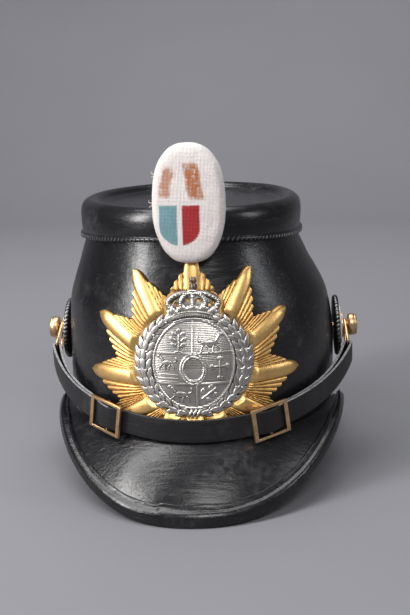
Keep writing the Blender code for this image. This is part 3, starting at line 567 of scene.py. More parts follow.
class Finishes:
    """Every finish of the hat, made once."""

    def __init__(self) -> None:
        """Makes the materials."""
        grey, pale = (0.05, 0.05, 0.052), (0.66, 0.635, 0.60)
        self.crown = Leather("crown leather").make()
        self.cap = Leather("cap leather", shine=0.23, dull=0.38, scratch_stretch=(60.0, 60.0, 300.0)).make()
        self.peak = Leather("peak leather", shine=0.22, dull=0.34, scratches=0.45, grain_depth=0.00016,
                            scratch_stretch=(26.0, 420.0, 420.0), crease_depth=0.00022).make()
        self.binding = Leather("binding leather", shine=0.19, dull=0.34, scratches=0.3,
                               grain_depth=0.00018).make()
        self.strap = Leather("strap leather", base=(0.0045, 0.0045, 0.0055), shine=0.44, dull=0.58,
                             scratches=0.15, crease_depth=0.0003).make()
        self.cut_edge = Paint("strap cut edge", (0.26, 0.26, 0.265), (0.07, 0.07, 0.075), roughness=0.85,
                              scale=420.0, depth=0.0004).make()
        self.dark_edge = Paint("strap dark edge", (0.014, 0.014, 0.015), grey, roughness=0.70, scale=300.0,
                               depth=0.0003).make()
        self.thread = Paint("bead thread", (0.055, 0.055, 0.060), (0.16, 0.16, 0.17), roughness=0.35,
                            scale=500.0).make()
        # Each struck metal's second colour is its painted shade, for hollows and faces turned away.
        self.gilt = StruckMetal("gilt brass", (0.82, 0.53, 0.205), (0.34, 0.155, 0.035), shine=0.37,
                                dull=0.52, pits=0.85).make()
        self.silver = StruckMetal("white metal", pale, (0.055, 0.050, 0.043), shine=0.31, dull=0.46).make()
        self.shield = StruckMetal("shield metal", pale, (0.15, 0.135, 0.12), shine=0.29, dull=0.46,
                                  line_depth=0.00012).make()
        self.stud = StruckMetal("dark stud", (0.22, 0.17, 0.13), (0.035, 0.028, 0.022), shine=0.35,
                                dull=0.6).make()
        self.brass = WornBrass("fitting brass").make()
        self.knob = WornBrass("knob brass", (0.66, 0.45, 0.24), (0.36, 0.21, 0.10), shine=0.30).make()
        self.cotton = WovenCotton("badge cotton").make()
        self.cockade = Paint("cockade black", (0.016, 0.016, 0.018), grey, roughness=0.42).make()
        self.cord = StruckMetal("cockade silver", (0.20, 0.20, 0.20), (0.012, 0.012, 0.012), shine=0.30,
                                dull=0.5).make()
        self.disc = Paint("white disc", (0.72, 0.71, 0.68), (0.50, 0.48, 0.45), roughness=0.55).make()


class Bench:
    """Makes meshes from grids, turned profiles and copies, and turns them into finished pieces."""

    def grid(self, columns: int, shape: GridShape, rows: int, tones: Optional[dict[str, GridTone]] = None,
             flat: Optional[GridShape] = None) -> Mesh:
        """Bends a grid into a surface and joins the edges that meet.

        Args:
            columns: the number of faces across, over which the first number runs from 0 to 1.
            shape: gives the point of a share across and a row's number.
            rows: the number of faces up.
            tones: values that the mesh carries, each by share and row.
            flat: the place in a flat pattern, by share and row.

        Returns:
            The mesh.
        """
        bm = bmesh.new()
        layers = {name: bm.verts.layers.float.new(name) for name in (tones or {})}
        flat_layer = bm.verts.layers.float_vector.new("flat") if flat else None
        bmesh.ops.create_grid(bm, x_segments=columns, y_segments=rows, size=0.5)
        for vert in bm.verts:
            share = vert.co.x + 0.5
            row = round((vert.co.y + 0.5) * rows)
            vert.co = shape(share, row)
            for name, layer in layers.items():
                vert[layer] = tones[name](share, row)
            if flat:
                vert[flat_layer] = flat(share, row)
        bmesh.ops.remove_doubles(bm, verts=bm.verts, dist=MERGE_GRID)
        return bm

    def close(self, bm: Mesh) -> None:
        """Closes open ends with faces.

        Args:
            bm: the mesh.
        """
        edges = [edge for edge in bm.edges if edge.is_boundary]
        if edges:
            made = bmesh.ops.holes_fill(bm, edges=edges, sides=0)["faces"]
            bmesh.ops.triangulate(bm, faces=made)

    def tube(self, points: Sequence[Sequence[float]], radius: float, sides: int = 8, steps: int = 5) -> Mesh:
        """A round wire through points, smooth between them and closed at its ends.

        Args:
            points: the points that the wire runs through.
            radius: the wire's radius.
            sides: the number of faces round it.
            steps: the number of faces along it between two points.

        Returns:
            The mesh.
        """
        line = [Vector(row) for row in smooth_rows([tuple(point) for point in points], steps)]
        ends = (0, len(line) - 1)

        def shape(share: float, row: int) -> Vector:
            """A point of the wire's skin."""
            here = line[row]
            along = (line[min(row + 1, ends[1])] - line[max(row - 1, 0)]).normalized()
            side = along.cross(Vector((0.0, 0.3, 1.0))).normalized()
            up = side.cross(along)
            size = radius * (0.5 if row in ends else 1.0)
            turn = TURN * share
            return here + size * (math.cos(turn) * side + math.sin(turn) * up)

        bm = self.grid(sides, shape, ends[1])
        self.close(bm)
        return bm

    def turned(self, profile: Sequence[Pair], place: Matrix, steps: int = 64) -> Mesh:
        """A solid turned about the local X axis.

        Args:
            profile: points as places along the axis and radii.
            place: the frame that it stands in.
            steps: the number of faces round it.

        Returns:
            The mesh.
        """
        bm = bmesh.new()
        verts = [bm.verts.new((along, radius, 0.0)) for along, radius in profile]
        edges = [bm.edges.new(pair) for pair in zip(verts, verts[1:])]
        bmesh.ops.spin(bm, geom=verts + edges, cent=(0, 0, 0), axis=(1, 0, 0), angle=TURN, steps=steps,
                       use_merge=True)
        bmesh.ops.remove_doubles(bm, verts=bm.verts, dist=MERGE_GRID)
        bmesh.ops.transform(bm, matrix=place, verts=bm.verts)
        return bm

    def merged_node(self, node: str, flat_angle: float, shape_angle: float) -> Mesh:
        """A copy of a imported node's mesh, with its doubles merged and its flat triangles joined.

        Args:
            node: the node's name.
            flat_angle: triangles that turn less than this many degrees are joined.
            shape_angle: how far a joined face may lie from a rectangle, in degrees.

        Returns:
            The mesh.
        """
        bm = bmesh.new()
        bm.from_mesh(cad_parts[node].data)
        bmesh.ops.remove_doubles(bm, verts=bm.verts, dist=MERGE_NODE)
        bmesh.ops.join_triangles(bm, faces=bm.faces, angle_face_threshold=math.radians(flat_angle),
                                 angle_shape_threshold=math.radians(shape_angle))
        return bm

    def round_edges(self, bm: Mesh, width: float, segments: int, angle: float) -> Mesh:
        """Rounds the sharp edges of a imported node's copy and moves it to the hat's own frame.

        Args:
            bm: the copy.
            width: the width of the rounding.
            segments: the number of faces across the rounding.
            angle: edges that turn more than this many degrees are rounded.

        Returns:
            The same mesh.
        """
        sharp = [edge for edge in bm.edges
                 if len(edge.link_faces) == 2 and edge.calc_face_angle(0.0) > math.radians(angle)]
        bmesh.ops.bevel(bm, geom=sharp, offset=width, offset_type="OFFSET", affect="EDGES", segments=segments,
                        profile=0.5, material=-1, clamp_overlap=True)
        bmesh.ops.translate(bm, vec=-SHIFT, verts=bm.verts)
        return bm

    def join(self, parts: Sequence[Mesh]) -> Mesh:
        """Puts several meshes into one, with their tone, and frees them.

        Args:
            parts: the meshes.

        Returns:
            The one mesh.
        """
        whole = bmesh.new()
        whole.verts.layers.float.new("tone")
        for part in parts:
            mesh = bpy.data.meshes.new("part")
            part.to_mesh(mesh)
            part.free()
            whole.from_mesh(mesh)
            bpy.data.meshes.remove(mesh)
        return whole

    def piece(self, name: str, bm: Mesh, finishes: Sequence[Material],
              replaces: Sequence[str] = (), smooth_angle: float = 50.0, recalc: bool = True) -> Object:
        """Makes a finished piece that rides on the hat.

        Args:
            name: the piece's name.
            bm: its mesh, about the wall's own middle, which is freed.
            finishes: its materials, by the faces' material numbers.
            replaces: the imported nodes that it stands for.
            smooth_angle: edges that turn more than this many degrees stay sharp.
            recalc: whether to turn the faces outwards.

        Returns:
            The piece's object.
        """
        bmesh.ops.translate(bm, vec=SHIFT, verts=bm.verts)
        if recalc:
            bmesh.ops.recalc_face_normals(bm, faces=bm.faces)
        mesh = bpy.data.meshes.new(name)
        bm.to_mesh(mesh)
        bm.free()
        mesh.shade_smooth()
        mesh.set_sharp_from_angle(angle=math.radians(smooth_angle))
        for finish in finishes:
            mesh.materials.append(finish)
        obj = bpy.data.objects.new(name, mesh)
        bpy.context.scene.collection.objects.link(obj)
        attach(obj, BODY)
        if replaces:
            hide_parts(*replaces)
        LOG.info("%s: %d faces", name, len(mesh.polygons))
        return obj


BENCH = Bench()


@dataclass
class Crown:
    """The hollow leather wall and the moulded cap on top of it."""

    finishes: Finishes
    around: int = 224
    wall_rows: int = 84
    inner_rows: int = 40
    unevenness: float = 0.00035
    collar_drop: float = 0.015
    collar_front_lift: float = 0.40
    collar_proud: float = 0.0026
    rim_rise: float = 0.0085
    rim_roll: float = 0.010
    disc_rows: int = 16
    stitch_pitch: float = 0.0031
    stitch_length: float = 0.0027
    stitch_radius: float = 0.00038
    cap_outside: tuple[tuple[float, ...], ...] = (
        (0.00, 0.30, 0.00, 1.00),
        (0.00, 0.66, 0.00, 1.04),
        (0.00, 1.02, 0.00, 1.01),
        (0.00, 1.16, 0.00, 0.93),
        (0.00, 1.06, 0.00, 0.85),
        (0.00, 0.86, 0.00, 0.81),
        (0.00, 0.84, 0.00, 0.76),
        (0.00, 0.98, 0.00, 0.62),
        (0.00, 1.10, 0.00, 0.35),
        (0.00, 1.08, 0.15, 0.0),
        (0.00, 0.60, 0.62, 0.0),
        (0.14, 0.05, 0.92, 0.0),
        (0.42, 0.00, 1.00, 0.0),
        (0.75, 0.00, 0.86, 0.0),
        (0.98, 0.00, 0.60, 0.0),
        (1.30, 0.00, 0.46, 0.0),
        (1.80, 0.00, 0.44, 0.0),
    )
    cap_inside: tuple[tuple[float, ...], ...] = (
        (1.80, 0.0, 0.20, 0.0),
        (0.85, 0.0, 0.32, 0.0),
        (0.55, 0.0, 0.66, 0.0),
        (0.25, 0.0, 0.66, 0.0),
        (0.02, 0.1, 0.28, 0.0),
        (0.00, 0.0, 0.00, 0.0),
        (0.00, 0.0, 0.00, 0.96),
    )

    def build(self) -> None:
        """Builds the wall, the cap and the bead's stitches."""
        self.wall()
        self.cap()
        self.stitches()

    def wall(self) -> None:
        """The leather wall, with its lower edge rounded."""
        low, high, thick = WALL.rim_height, WALL.top_height, WALL.leather
        round_off = thick / 2
        rise, steps, inner = high - low - round_off, self.wall_rows, self.inner_rows
        profile = [(low + round_off * (1 - math.cos(a)), -round_off * (1 - math.sin(a)))
                   for a in (0.0, 0.5, 1.0, QUARTER)]
        profile += [(low + round_off + rise * (i + 1) / steps, 0.0) for i in range(steps)]
        profile += [(high, -thick)]
        profile += [(high - rise * (i + 1) / inner, -thick) for i in range(inner)]
        profile += [(low + round_off * (1 - math.cos(a)), -thick + round_off * (1 - math.sin(a)))
                    for a in (1.0, 0.5, 0.0)]

        def shape(share: float, row: int) -> Vector:
            """A point of the wall's skin."""
            height, out = profile[row]
            turn = TURN * share
            place = WALL.point(turn, height)
            fade = smooth_share(height, low, low + 0.02) * smooth_share(high - 0.006 - height, 0.0, 0.02)
            return WALL.point(turn, height, out + fade * self.dent(place))

        bm = BENCH.grid(self.around, shape, len(profile) - 1)
        BENCH.piece("crown_wall", bm, [self.finishes.crown], ["crown_body"])

    def dent(self, place: Vector) -> float:
        """How far the old leather lies in or out of its true shape at a place."""
        front_plate = smooth_share(math.hypot(place.x, place.z - 0.075), 0.060, 0.085) if place.y < 0 else 1.0
        size = 0.7 * waver(place, 0.034) + 0.3 * waver(place, 0.013, 3.0)
        return self.unevenness * front_plate * size

    def cap_ring(self, row: Sequence[float], turn: float) -> Vector:
        """A point of the cap.

        Args:
            row: the shares inwards, outwards, up and down, from the cap's tables.
            turn: the turn from the front.

        Returns:
            The point.
        """
        inward, proud, rise, drop = row
        out = WALL.fit_gap + proud * self.collar_proud - inward * self.rim_roll
        fall = drop * self.collar_drop * (1 - self.collar_front_lift * max(0.0, math.cos(turn)) ** 2)
        return WALL.point(turn, WALL.top_height + rise * self.rim_rise - fall, out)

    def cap(self) -> None:
        """The moulded cap: bead, collar, rounded rim and sunken disc."""
        outside = smooth_rows(self.cap_outside, 5)
        inside = smooth_rows(self.cap_inside, 2)
        left, right, front, back = WALL.half_axes(WALL.top_height)
        middle = Vector(((right - left) / 2, (back - front) / 2, 0.0))
        count = self.disc_rows
        rows = [(inside[0], i / count) for i in range(count)] + [(row, 1.0) for row in inside]
        rows += [(row, 1.0) for row in outside] + [(outside[-1], 1 - (i + 1) / count) for i in range(count)]

        def shape(share: float, number: int) -> Vector:
            """A point of the cap's skin."""
            row, spread = rows[number]
            turn = TURN * share
            edge = self.cap_ring(row, turn)
            centre = middle + Vector((0, 0, edge.z))
            place = centre.lerp(edge, spread)
            if number > count + len(inside):
                place.z += self.unevenness * 0.9 * waver(place, 0.030, 5.0)
            return place

        bm = BENCH.grid(self.around, shape, len(rows) - 1)
        BENCH.piece("crown_cap", bm, [self.finishes.cap], ["crown_top"])

    def stitches(self) -> None:
        """Slanted stitches all along the cap's rolled bead."""
        row = self.cap_outside[3]
        turns: list[float] = []
        turn = 0.0
        while turn < TURN:
            turns.append(turn)
            near = (self.cap_ring(row, turn + 0.01) - self.cap_ring(row, turn)).length / 0.01
            turn += self.stitch_pitch / near
        parts = []
        for turn in turns:
            here = self.cap_ring(row, turn)
            along = (self.cap_ring(row, turn + 0.01) - self.cap_ring(row, turn - 0.01)).normalized()
            out = (self.cap_ring((0, row[1] + 1, 0, row[3]), turn) - here).normalized()
            up = out.cross(along)
            slant = (up + 0.45 * along).normalized()
            frame_axes = Matrix((slant, out.cross(slant), out)).transposed().to_4x4()
            size = Matrix.Diagonal((self.stitch_length / 2, self.stitch_radius, self.stitch_radius, 1.0))
            bm = bmesh.new()
            place = Matrix.Translation(here + out * 0.00005) @ frame_axes @ size
            bmesh.ops.create_uvsphere(bm, u_segments=6, v_segments=6, radius=1.0,
                                      matrix=place @ Matrix.Rotation(QUARTER, 4, "Y"))
            parts.append(bm)
        BENCH.piece("bead_stitches", BENCH.join(parts), [self.finishes.thread], recalc=False)


@dataclass
class Peaks:
    """The front peak with its folded binding, and the rear peak."""

    finishes: Finishes
    front_reach: float = 0.1395
    rear_reach: float = 0.138
    half_width: float = 0.0897
    start: float = 0.018
    thickness: float = 0.0022
    bulge: float = 0.0035
    flat_half: float = 0.005
    side_curve: float = 2.7
    slope_seat: float = 0.0011
    settle: float = 0.0017
    binding_width: float = 0.009
    binding_thickness: float = 0.0012
    binding_gap: float = 0.0006
    binding_roll: float = 0.0015
    inset: float = 0.0004
    unevenness: float = 0.0003
    fold_depth: float = 0.0005
    fold_share: float = 0.62
    columns: int = 180
    peak_rows: int = 46
    end_turn: float = math.radians(88)
    joint_turn: float = math.radians(-11.5)

    def build(self) -> None:
        """Builds both peaks and the binding."""
        self.peak("front_peak_leather", self.front_reach, False, 0.0, "front_peak")
        drop = self.binding_thickness + self.binding_gap + self.settle / 2
        self.peak("rear_peak_leather", self.rear_reach, True, drop, "rear_peak")
        self.binding()

    def edge(self, turn: float, reach: float) -> Vector:
        """The middle line of a peak's edge.

        Args:
            turn: the turn from the peak's middle.
            reach: how far the peak reaches.

        Returns:
            The point.
        """
        across = self.half_width * math.sin(turn)
        forward = self.start + (reach - self.start) * math.cos(turn)
        tip = self.thickness / 2 + self.binding_gap + self.binding_thickness - self.settle
        share = max(0.0, abs(across) - self.flat_half) / (self.half_width - self.flat_half)
        climb = WALL.rim_height + self.thickness / 2 - tip
        return Vector((across, -forward, tip + climb * share ** self.side_curve))

    def point(self, turn: float, share: float, reach: float) -> Vector:
        """A point of a peak's middle surface.

        Args:
            turn: the turn from the peak's middle.
            share: 0 at the root, 1 at the edge.
            reach: how far the peak reaches.

        Returns:
            The point.
        """
        side_turn = math.acos(self.start / WALL.half_length)
        root = WALL.point(turn / QUARTER * side_turn, WALL.rim_height + self.thickness / 2, self.slope_seat)
        bulge = self.bulge * math.sin(math.pi * share) * math.cos(turn)
        return root.lerp(self.edge(turn, reach), share) + Vector((0, 0, bulge))

    def normal(self, turn: float, share: float, reach: float) -> Vector:
        """The upward direction square to a peak's middle surface.

        Args:
            turn: the turn from the peak's middle.
            share: 0 at the root, 1 at the edge.
            reach: how far the peak reaches.

        Returns:
            The direction.
        """
        step = 0.01
        share = min(share, 0.999)
        low, high = max(share - step, 0.0), min(share + step, 1.0)
        along = self.point(turn, high, reach) - self.point(turn, low, reach)
        side = self.point(turn + step, share, reach) - self.point(turn - step, share, reach)
        normal = side.cross(along).normalized()
        return normal if normal.z > 0 else -normal

    def outward(self, turn: float, reach: float) -> Vector:
        """The direction in which a peak's leather leaves its edge."""
        return (self.edge(turn, reach) - self.point(turn, 0.95, reach)).normalized()

    def flatten(self, point: Vector) -> Vector:
        """Leather that would reach below the surface lies flat on it."""
        return Vector((point.x, point.y, max(point.z, 0.0)))

    def leg(self, turn: float) -> float:
        """The share of the front peak's width that its binding covers."""
        width = (self.point(turn, 0.0, self.front_reach) - self.edge(turn, self.front_reach)).length
        return min(self.binding_width / width, 0.6)

    def peak(self, name: str, reach: float, backward: bool, drop: float, node: str) -> None:
        """One sloping leather peak.

        Args:
            name: the piece's name.
            reach: how far it reaches from the middle.
            backward: whether it is turned to the rear.
            drop: how far its edge lies lower, where no binding is.
            node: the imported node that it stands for.
        """
        rows = self.peak_rows
        half = self.thickness / 2
        inset = 0.0 if backward else self.inset
        top = [(i / rows, 1.0, 0.0) for i in range(rows)]
        rounding = [(1.0, math.cos(a), math.sin(a)) for a in (0.0, 0.5, 1.0, QUARTER, 2.14, 2.64, math.pi)]
        under = [(1 - (i + 1) / rows, -1.0, 0.0) for i in range(rows)]
        profile = top + rounding + under + [top[0]]

        def shape(column: float, row: int) -> Vector:
            """A point of the peak's skin."""
            turn = self.end_turn * (2 * column - 1)
            share, lift, out = profile[row]
            place = self.point(turn, share, reach) - Vector((0, 0, drop * share))
            up = self.normal(turn, share, reach)
            wave = 0.0
            if out == 0.0 and 0.02 < share < 0.95:
                fade = smooth_share(share, 0.02, 0.2) * (1 - smooth_share(share, 0.75, 0.95))
                wave = self.unevenness * fade * waver(place, 0.022, 7.0)
            place = place + up * (half * lift + wave) + self.outward(turn, reach) * (half * out - inset)
            return self.flatten(place)

        bm = BENCH.grid(self.columns, shape, len(profile) - 1)
        BENCH.close(bm)
        if backward:
            bmesh.ops.rotate(bm, verts=bm.verts, cent=(0, 0, 0), matrix=Matrix.Rotation(math.pi, 3, "Z"))
        BENCH.piece(name, bm, [self.finishes.peak], [node])

    def binding_reach(self, turn: float) -> float:
        """How far the hand-laid binding reaches in from the edge.

        Args:
            turn: the turn from the peak's middle.

        Returns:
            The share of its usual width.
        """
        place = Vector((turn, 0.0, 0.0))
        past = smooth_share(turn, self.joint_turn - 0.012, self.joint_turn + 0.012)
        fade = 1 - smooth_share(abs(turn), math.radians(52), math.radians(74))
        uneven = 0.05 * waver(place, 0.16) + 0.03 * waver(place, 0.05, 2.0)
        return 0.90 + (0.16 * past * fade) + uneven

    def binding(self) -> None:
        """The leather strip folded over the front peak's edge, with its joint left of the middle."""
        near = self.thickness / 2 + self.binding_gap * 0.5
        thick = self.binding_thickness + self.binding_gap * 0.5
        far = near + thick
        reach = self.front_reach
        steps, roll = 12, 10
        outer: list[Triple] = [(1.0, 0.35, 1.0), (0.985, 0.8, 1.0)]
        outer += [(0.95 * (1 - i / steps), 1.0, 1.0) for i in range(steps)]
        outer += [(0.0, math.cos(math.pi * i / roll), math.sin(math.pi * i / roll)) for i in range(1, roll)]
        outer += [(0.95 * i / steps, -1.0, 1.0) for i in range(1, steps + 1)] + [(1.0, -0.6, 1.0)]
        inner = [(0.96, -1.0), (0.5, -1.0), (0.0, -1.0), (0.0, 1.0), (0.5, 1.0), (0.93, 1.0)]

        def outside(turn: float, row: Triple) -> Vector:
            """A point of the binding's outer skin.

            Args:
                turn: the turn from the peak's middle.
                row: the share back from the edge, the lift and the share out.

            Returns:
                The point.
            """
            back, lift, out = row
            share = 1 - self.leg(turn) * (self.binding_reach(turn) if lift > 0 else 1.0) * back
            place = self.point(turn, share, reach)
            up = self.normal(turn, share, reach)
            if back == 0.0:
                return self.flatten(place + up * far * lift + self.outward(turn, reach) * far * 0.85 * out)
            rise = self.binding_roll * math.sin(math.pi * min(back * 1.35, 1.0)) if lift > 0 else 0.0
            if lift == 1.0 and 0.15 < back < 0.9:
                fold = math.exp(-((back - self.fold_share) / 0.07) ** 2)
                rise -= self.fold_depth * fold * smooth_share(turn, -0.2, 0.05)
                rise += 0.00025 * waver(place, 0.012, 4.0)
            height = near + thick * lift if abs(lift) < 1 else far * lift
            return self.flatten(place + up * (height + rise))

        def inside(turn: float, row: Pair) -> Vector:
            """A point of the binding's inner skin.

            Args:
                turn: the turn from the peak's middle.
                row: the share back from the edge and the lift.

            Returns:
                The point.
            """
            back, lift = row
            share = 1 - self.leg(turn) * back
            place = self.point(turn, share, reach)
            return self.flatten(place + self.normal(turn, share, reach) * near * lift)

        def shape(column: float, row: int) -> Vector:
            """A point of the binding's skin."""
            turn = self.end_turn * (2 * column - 1)
            if len(outer) <= row < len(outer) + len(inner):
                return inside(turn, inner[row - len(outer)])
            return outside(turn, outer[row % (len(outer) + len(inner))])

        bm = BENCH.grid(self.columns + 60, shape, len(outer) + len(inner))
        BENCH.close(bm)
        BENCH.piece("peak_binding", bm, [self.finishes.binding], ["front_peak_binding"])


@dataclass
class StarPlate:
    """The gilt sunburst plate: long convex rays with stepped flutes between them."""

    finishes: Finishes
    height: float = 0.0730
    radius: float = 0.0695
    rays: int = 12
    turn: float = math.radians(-0.6)
    aside: float = 0.0010
    right_share: float = 0.955
    seat: float = 0.0006
    sheet: float = 0.0009
    ray_half: float = 0.0046
    ray_tip_from: float = 0.0575
    ray_relief: float = 0.0024
    flute_relief: float = 0.0012
    flute_depth: float = 0.00078
    low_flutes: int = 4
    high_flutes: int = 4
    notch_share: float = 0.58
    notch_radius: float = 0.0470
    stair_radius: float = 0.0600
    cut_height: float = 0.0412
    columns_per_ray: int = 84
    rows: int = 72
    emblem_height: float = 0.0822
    wreath_half: Pair = (0.0345, 0.0300)
    crown_half: float = 0.0150
    crown_top: float = 0.1225

    def ray_reach(self, offset: float) -> float:
        """How far a ray reaches.

        Args:
            offset: the angle from the ray's middle line.

        Returns:
            The reach from the plate's middle.
        """
        across = abs(math.sin(offset))
        if across < 1e-6:
            return self.radius
        if self.ray_tip_from * across > self.ray_half:
            return self.ray_half / across
        low, high = self.ray_tip_from, self.radius
        for _ in range(24):
            middle = (low + high) / 2
            share = (middle - self.ray_tip_from) / (self.radius - self.ray_tip_from)
            half = self.ray_half * math.sqrt(max(0.0, 1 - share ** 2.0))
            low, high = (middle, high) if middle * across < half else (low, middle)
        return low

    def place_in_space(self, angle: float) -> tuple[float, float, int, float]:
        """Where an angle lies between two rays.

        Args:
            angle: the angle from the top, past the plate's own turn.

        Returns:
            The angle from the nearer ray, the share of the way to the notch, the number of flutes on that
            side, and the whole angle from ray to notch.
        """
        space = TURN / self.rays
        size = abs((angle + math.pi) % TURN - math.pi)
        part = (size / space) % 1.0
        if part < self.notch_share:
            return part * space, part / self.notch_share, self.low_flutes, self.notch_share * space
        back = 1 - part
        return back * space, back / (1 - self.notch_share), self.high_flutes, (1 - self.notch_share) * space

    def outline(self, angle: float) -> float:
        """The plate's reach.

        Args:
            angle: the angle from the top, past the plate's own turn.

        Returns:
            The reach from the plate's middle.
        """
        offset, share, flutes, whole = self.place_in_space(angle)
        start = math.asin(self.ray_half / self.stair_radius) / whole
        past = max(0.0, (share - start) / (1 - start))
        tooth = past * flutes
        shape = math.sin(math.pi * (tooth % 1.0)) if 0 < past < 1 else 0.0
        step = (int(tooth) + 0.5) / flutes
        stair = self.stair_radius + (self.notch_radius - self.stair_radius) * (0.45 * step + 0.55 * past)
        flute = stair + 0.0006 * shape ** 0.6 if past > 0 else 0.0
        return max(self.ray_reach(offset), flute, self.notch_radius)

    def relief(self, angle: float, reach: float) -> Pair:
        """The plate's relief.

        Args:
            angle: the angle from the top, past the plate's own turn.
            reach: the distance from the plate's middle.

        Returns:
            The height of the plate's front above its sheet, and its tone: painted highlight on ray crests and
            flute ridges, painted shade between them.
        """
        offset, share, flutes, whole = self.place_in_space(angle)
        across = abs(math.sin(offset)) * reach
        half = self.ray_half
        if reach > self.ray_tip_from:
            part = (reach - self.ray_tip_from) / (self.radius - self.ray_tip_from)
            half *= math.sqrt(max(0.02, 1 - min(part, 1.0) ** 2.0))
        flat = abs(math.sin(angle + self.turn)) * reach
        up = self.height + reach * math.cos(angle + self.turn) - self.emblem_height
        oval = math.hypot(flat / self.wreath_half[0], up / self.wreath_half[1])
        grow = smooth_share(oval, 1.0, 1.12)
        if 0.0 < up < self.crown_top - self.emblem_height:
            grow *= smooth_share(flat, self.crown_half, self.crown_half * 1.2)
        if across < half:
            crown = math.sqrt(max(0.0, 1 - (across / half) ** 2.0))
            fade = 1 - 0.45 * smooth_share(reach, self.radius * 0.90, self.radius)
            rise = self.flute_relief * 0.5 + self.ray_relief * 0.75 * crown
            # Painted highlight along the ray's crest, painted shade towards its sides.
            return grow * fade * rise, 0.35 + 0.65 * crown
        start = math.asin(min(1.0, half / max(reach, 0.02))) / whole
        past = min(max((share - start) / max(1 - start, 1e-3), 0.0), 1.0)
        wave = abs(math.sin(math.pi * past * flutes))
        slope = self.flute_relief * (1 - 0.80 * past)
        # Painted highlight on the flute ridges, painted shade in the flutes' hollows.
        return grow * (slope + self.flute_depth * (wave ** 0.7 - 0.6)), 0.15 + 0.75 * wave * (1 - 0.25 * past)

    def build(self) -> None:
        """Builds the plate, with its back and its plain cut at the foot."""
        columns = self.rays * self.columns_per_ray
        back_rows = 6
        turns = [TURN * i / columns for i in range(columns + 1)]
        reaches = [self.outline(turn) for turn in turns]

        def locate(share: float, row: int) -> tuple[float, float, float, float]:
            """Where a point of the plate lies.

            Args:
                share: the share of the way round.
                row: the row, from the back's middle to the front's.

            Returns:
                The angle, the reach, the place across and the height.
            """
            column = round(share * columns)
            part = row / back_rows if row <= back_rows else 1 - (row - back_rows - 1) / (self.rows - 1)
            reach = reaches[column] * part
            angle = turns[column] + self.turn
            across = reach * math.sin(angle)
            across *= 1 - (1 - self.right_share) * smooth_share(across, 0.015, 0.055)
            return turns[column], reach, across + self.aside, self.height + reach * math.cos(angle)

        def shape(share: float, row: int) -> Vector:
            """A point of the plate's skin."""
            turn, reach, across, height = locate(share, row)
            out = self.seat
            if row > back_rows:
                out += self.sheet + self.relief(turn, reach)[0]
            return WALL.wrap(across, height, out)

        def tone(share: float, row: int) -> float:
            """How bright a point of the plate is painted: highlight on its ridges, shade in its hollows."""
            return self.relief(*locate(share, row)[:2])[1] if row > back_rows else 0.4

        bm = BENCH.grid(columns, shape, back_rows + self.rows, {"tone": tone})
        geom = bm.verts[:] + bm.edges[:] + bm.faces[:]
        bmesh.ops.bisect_plane(bm, geom=geom, dist=1e-7, plane_co=(0, 0, self.cut_height),
                               plane_no=(0, 0, -1), clear_outer=True)
        BENCH.close(bm)
        BENCH.piece("sunburst_plate", bm, [self.finishes.gilt], ["star_plate"], smooth_angle=60)


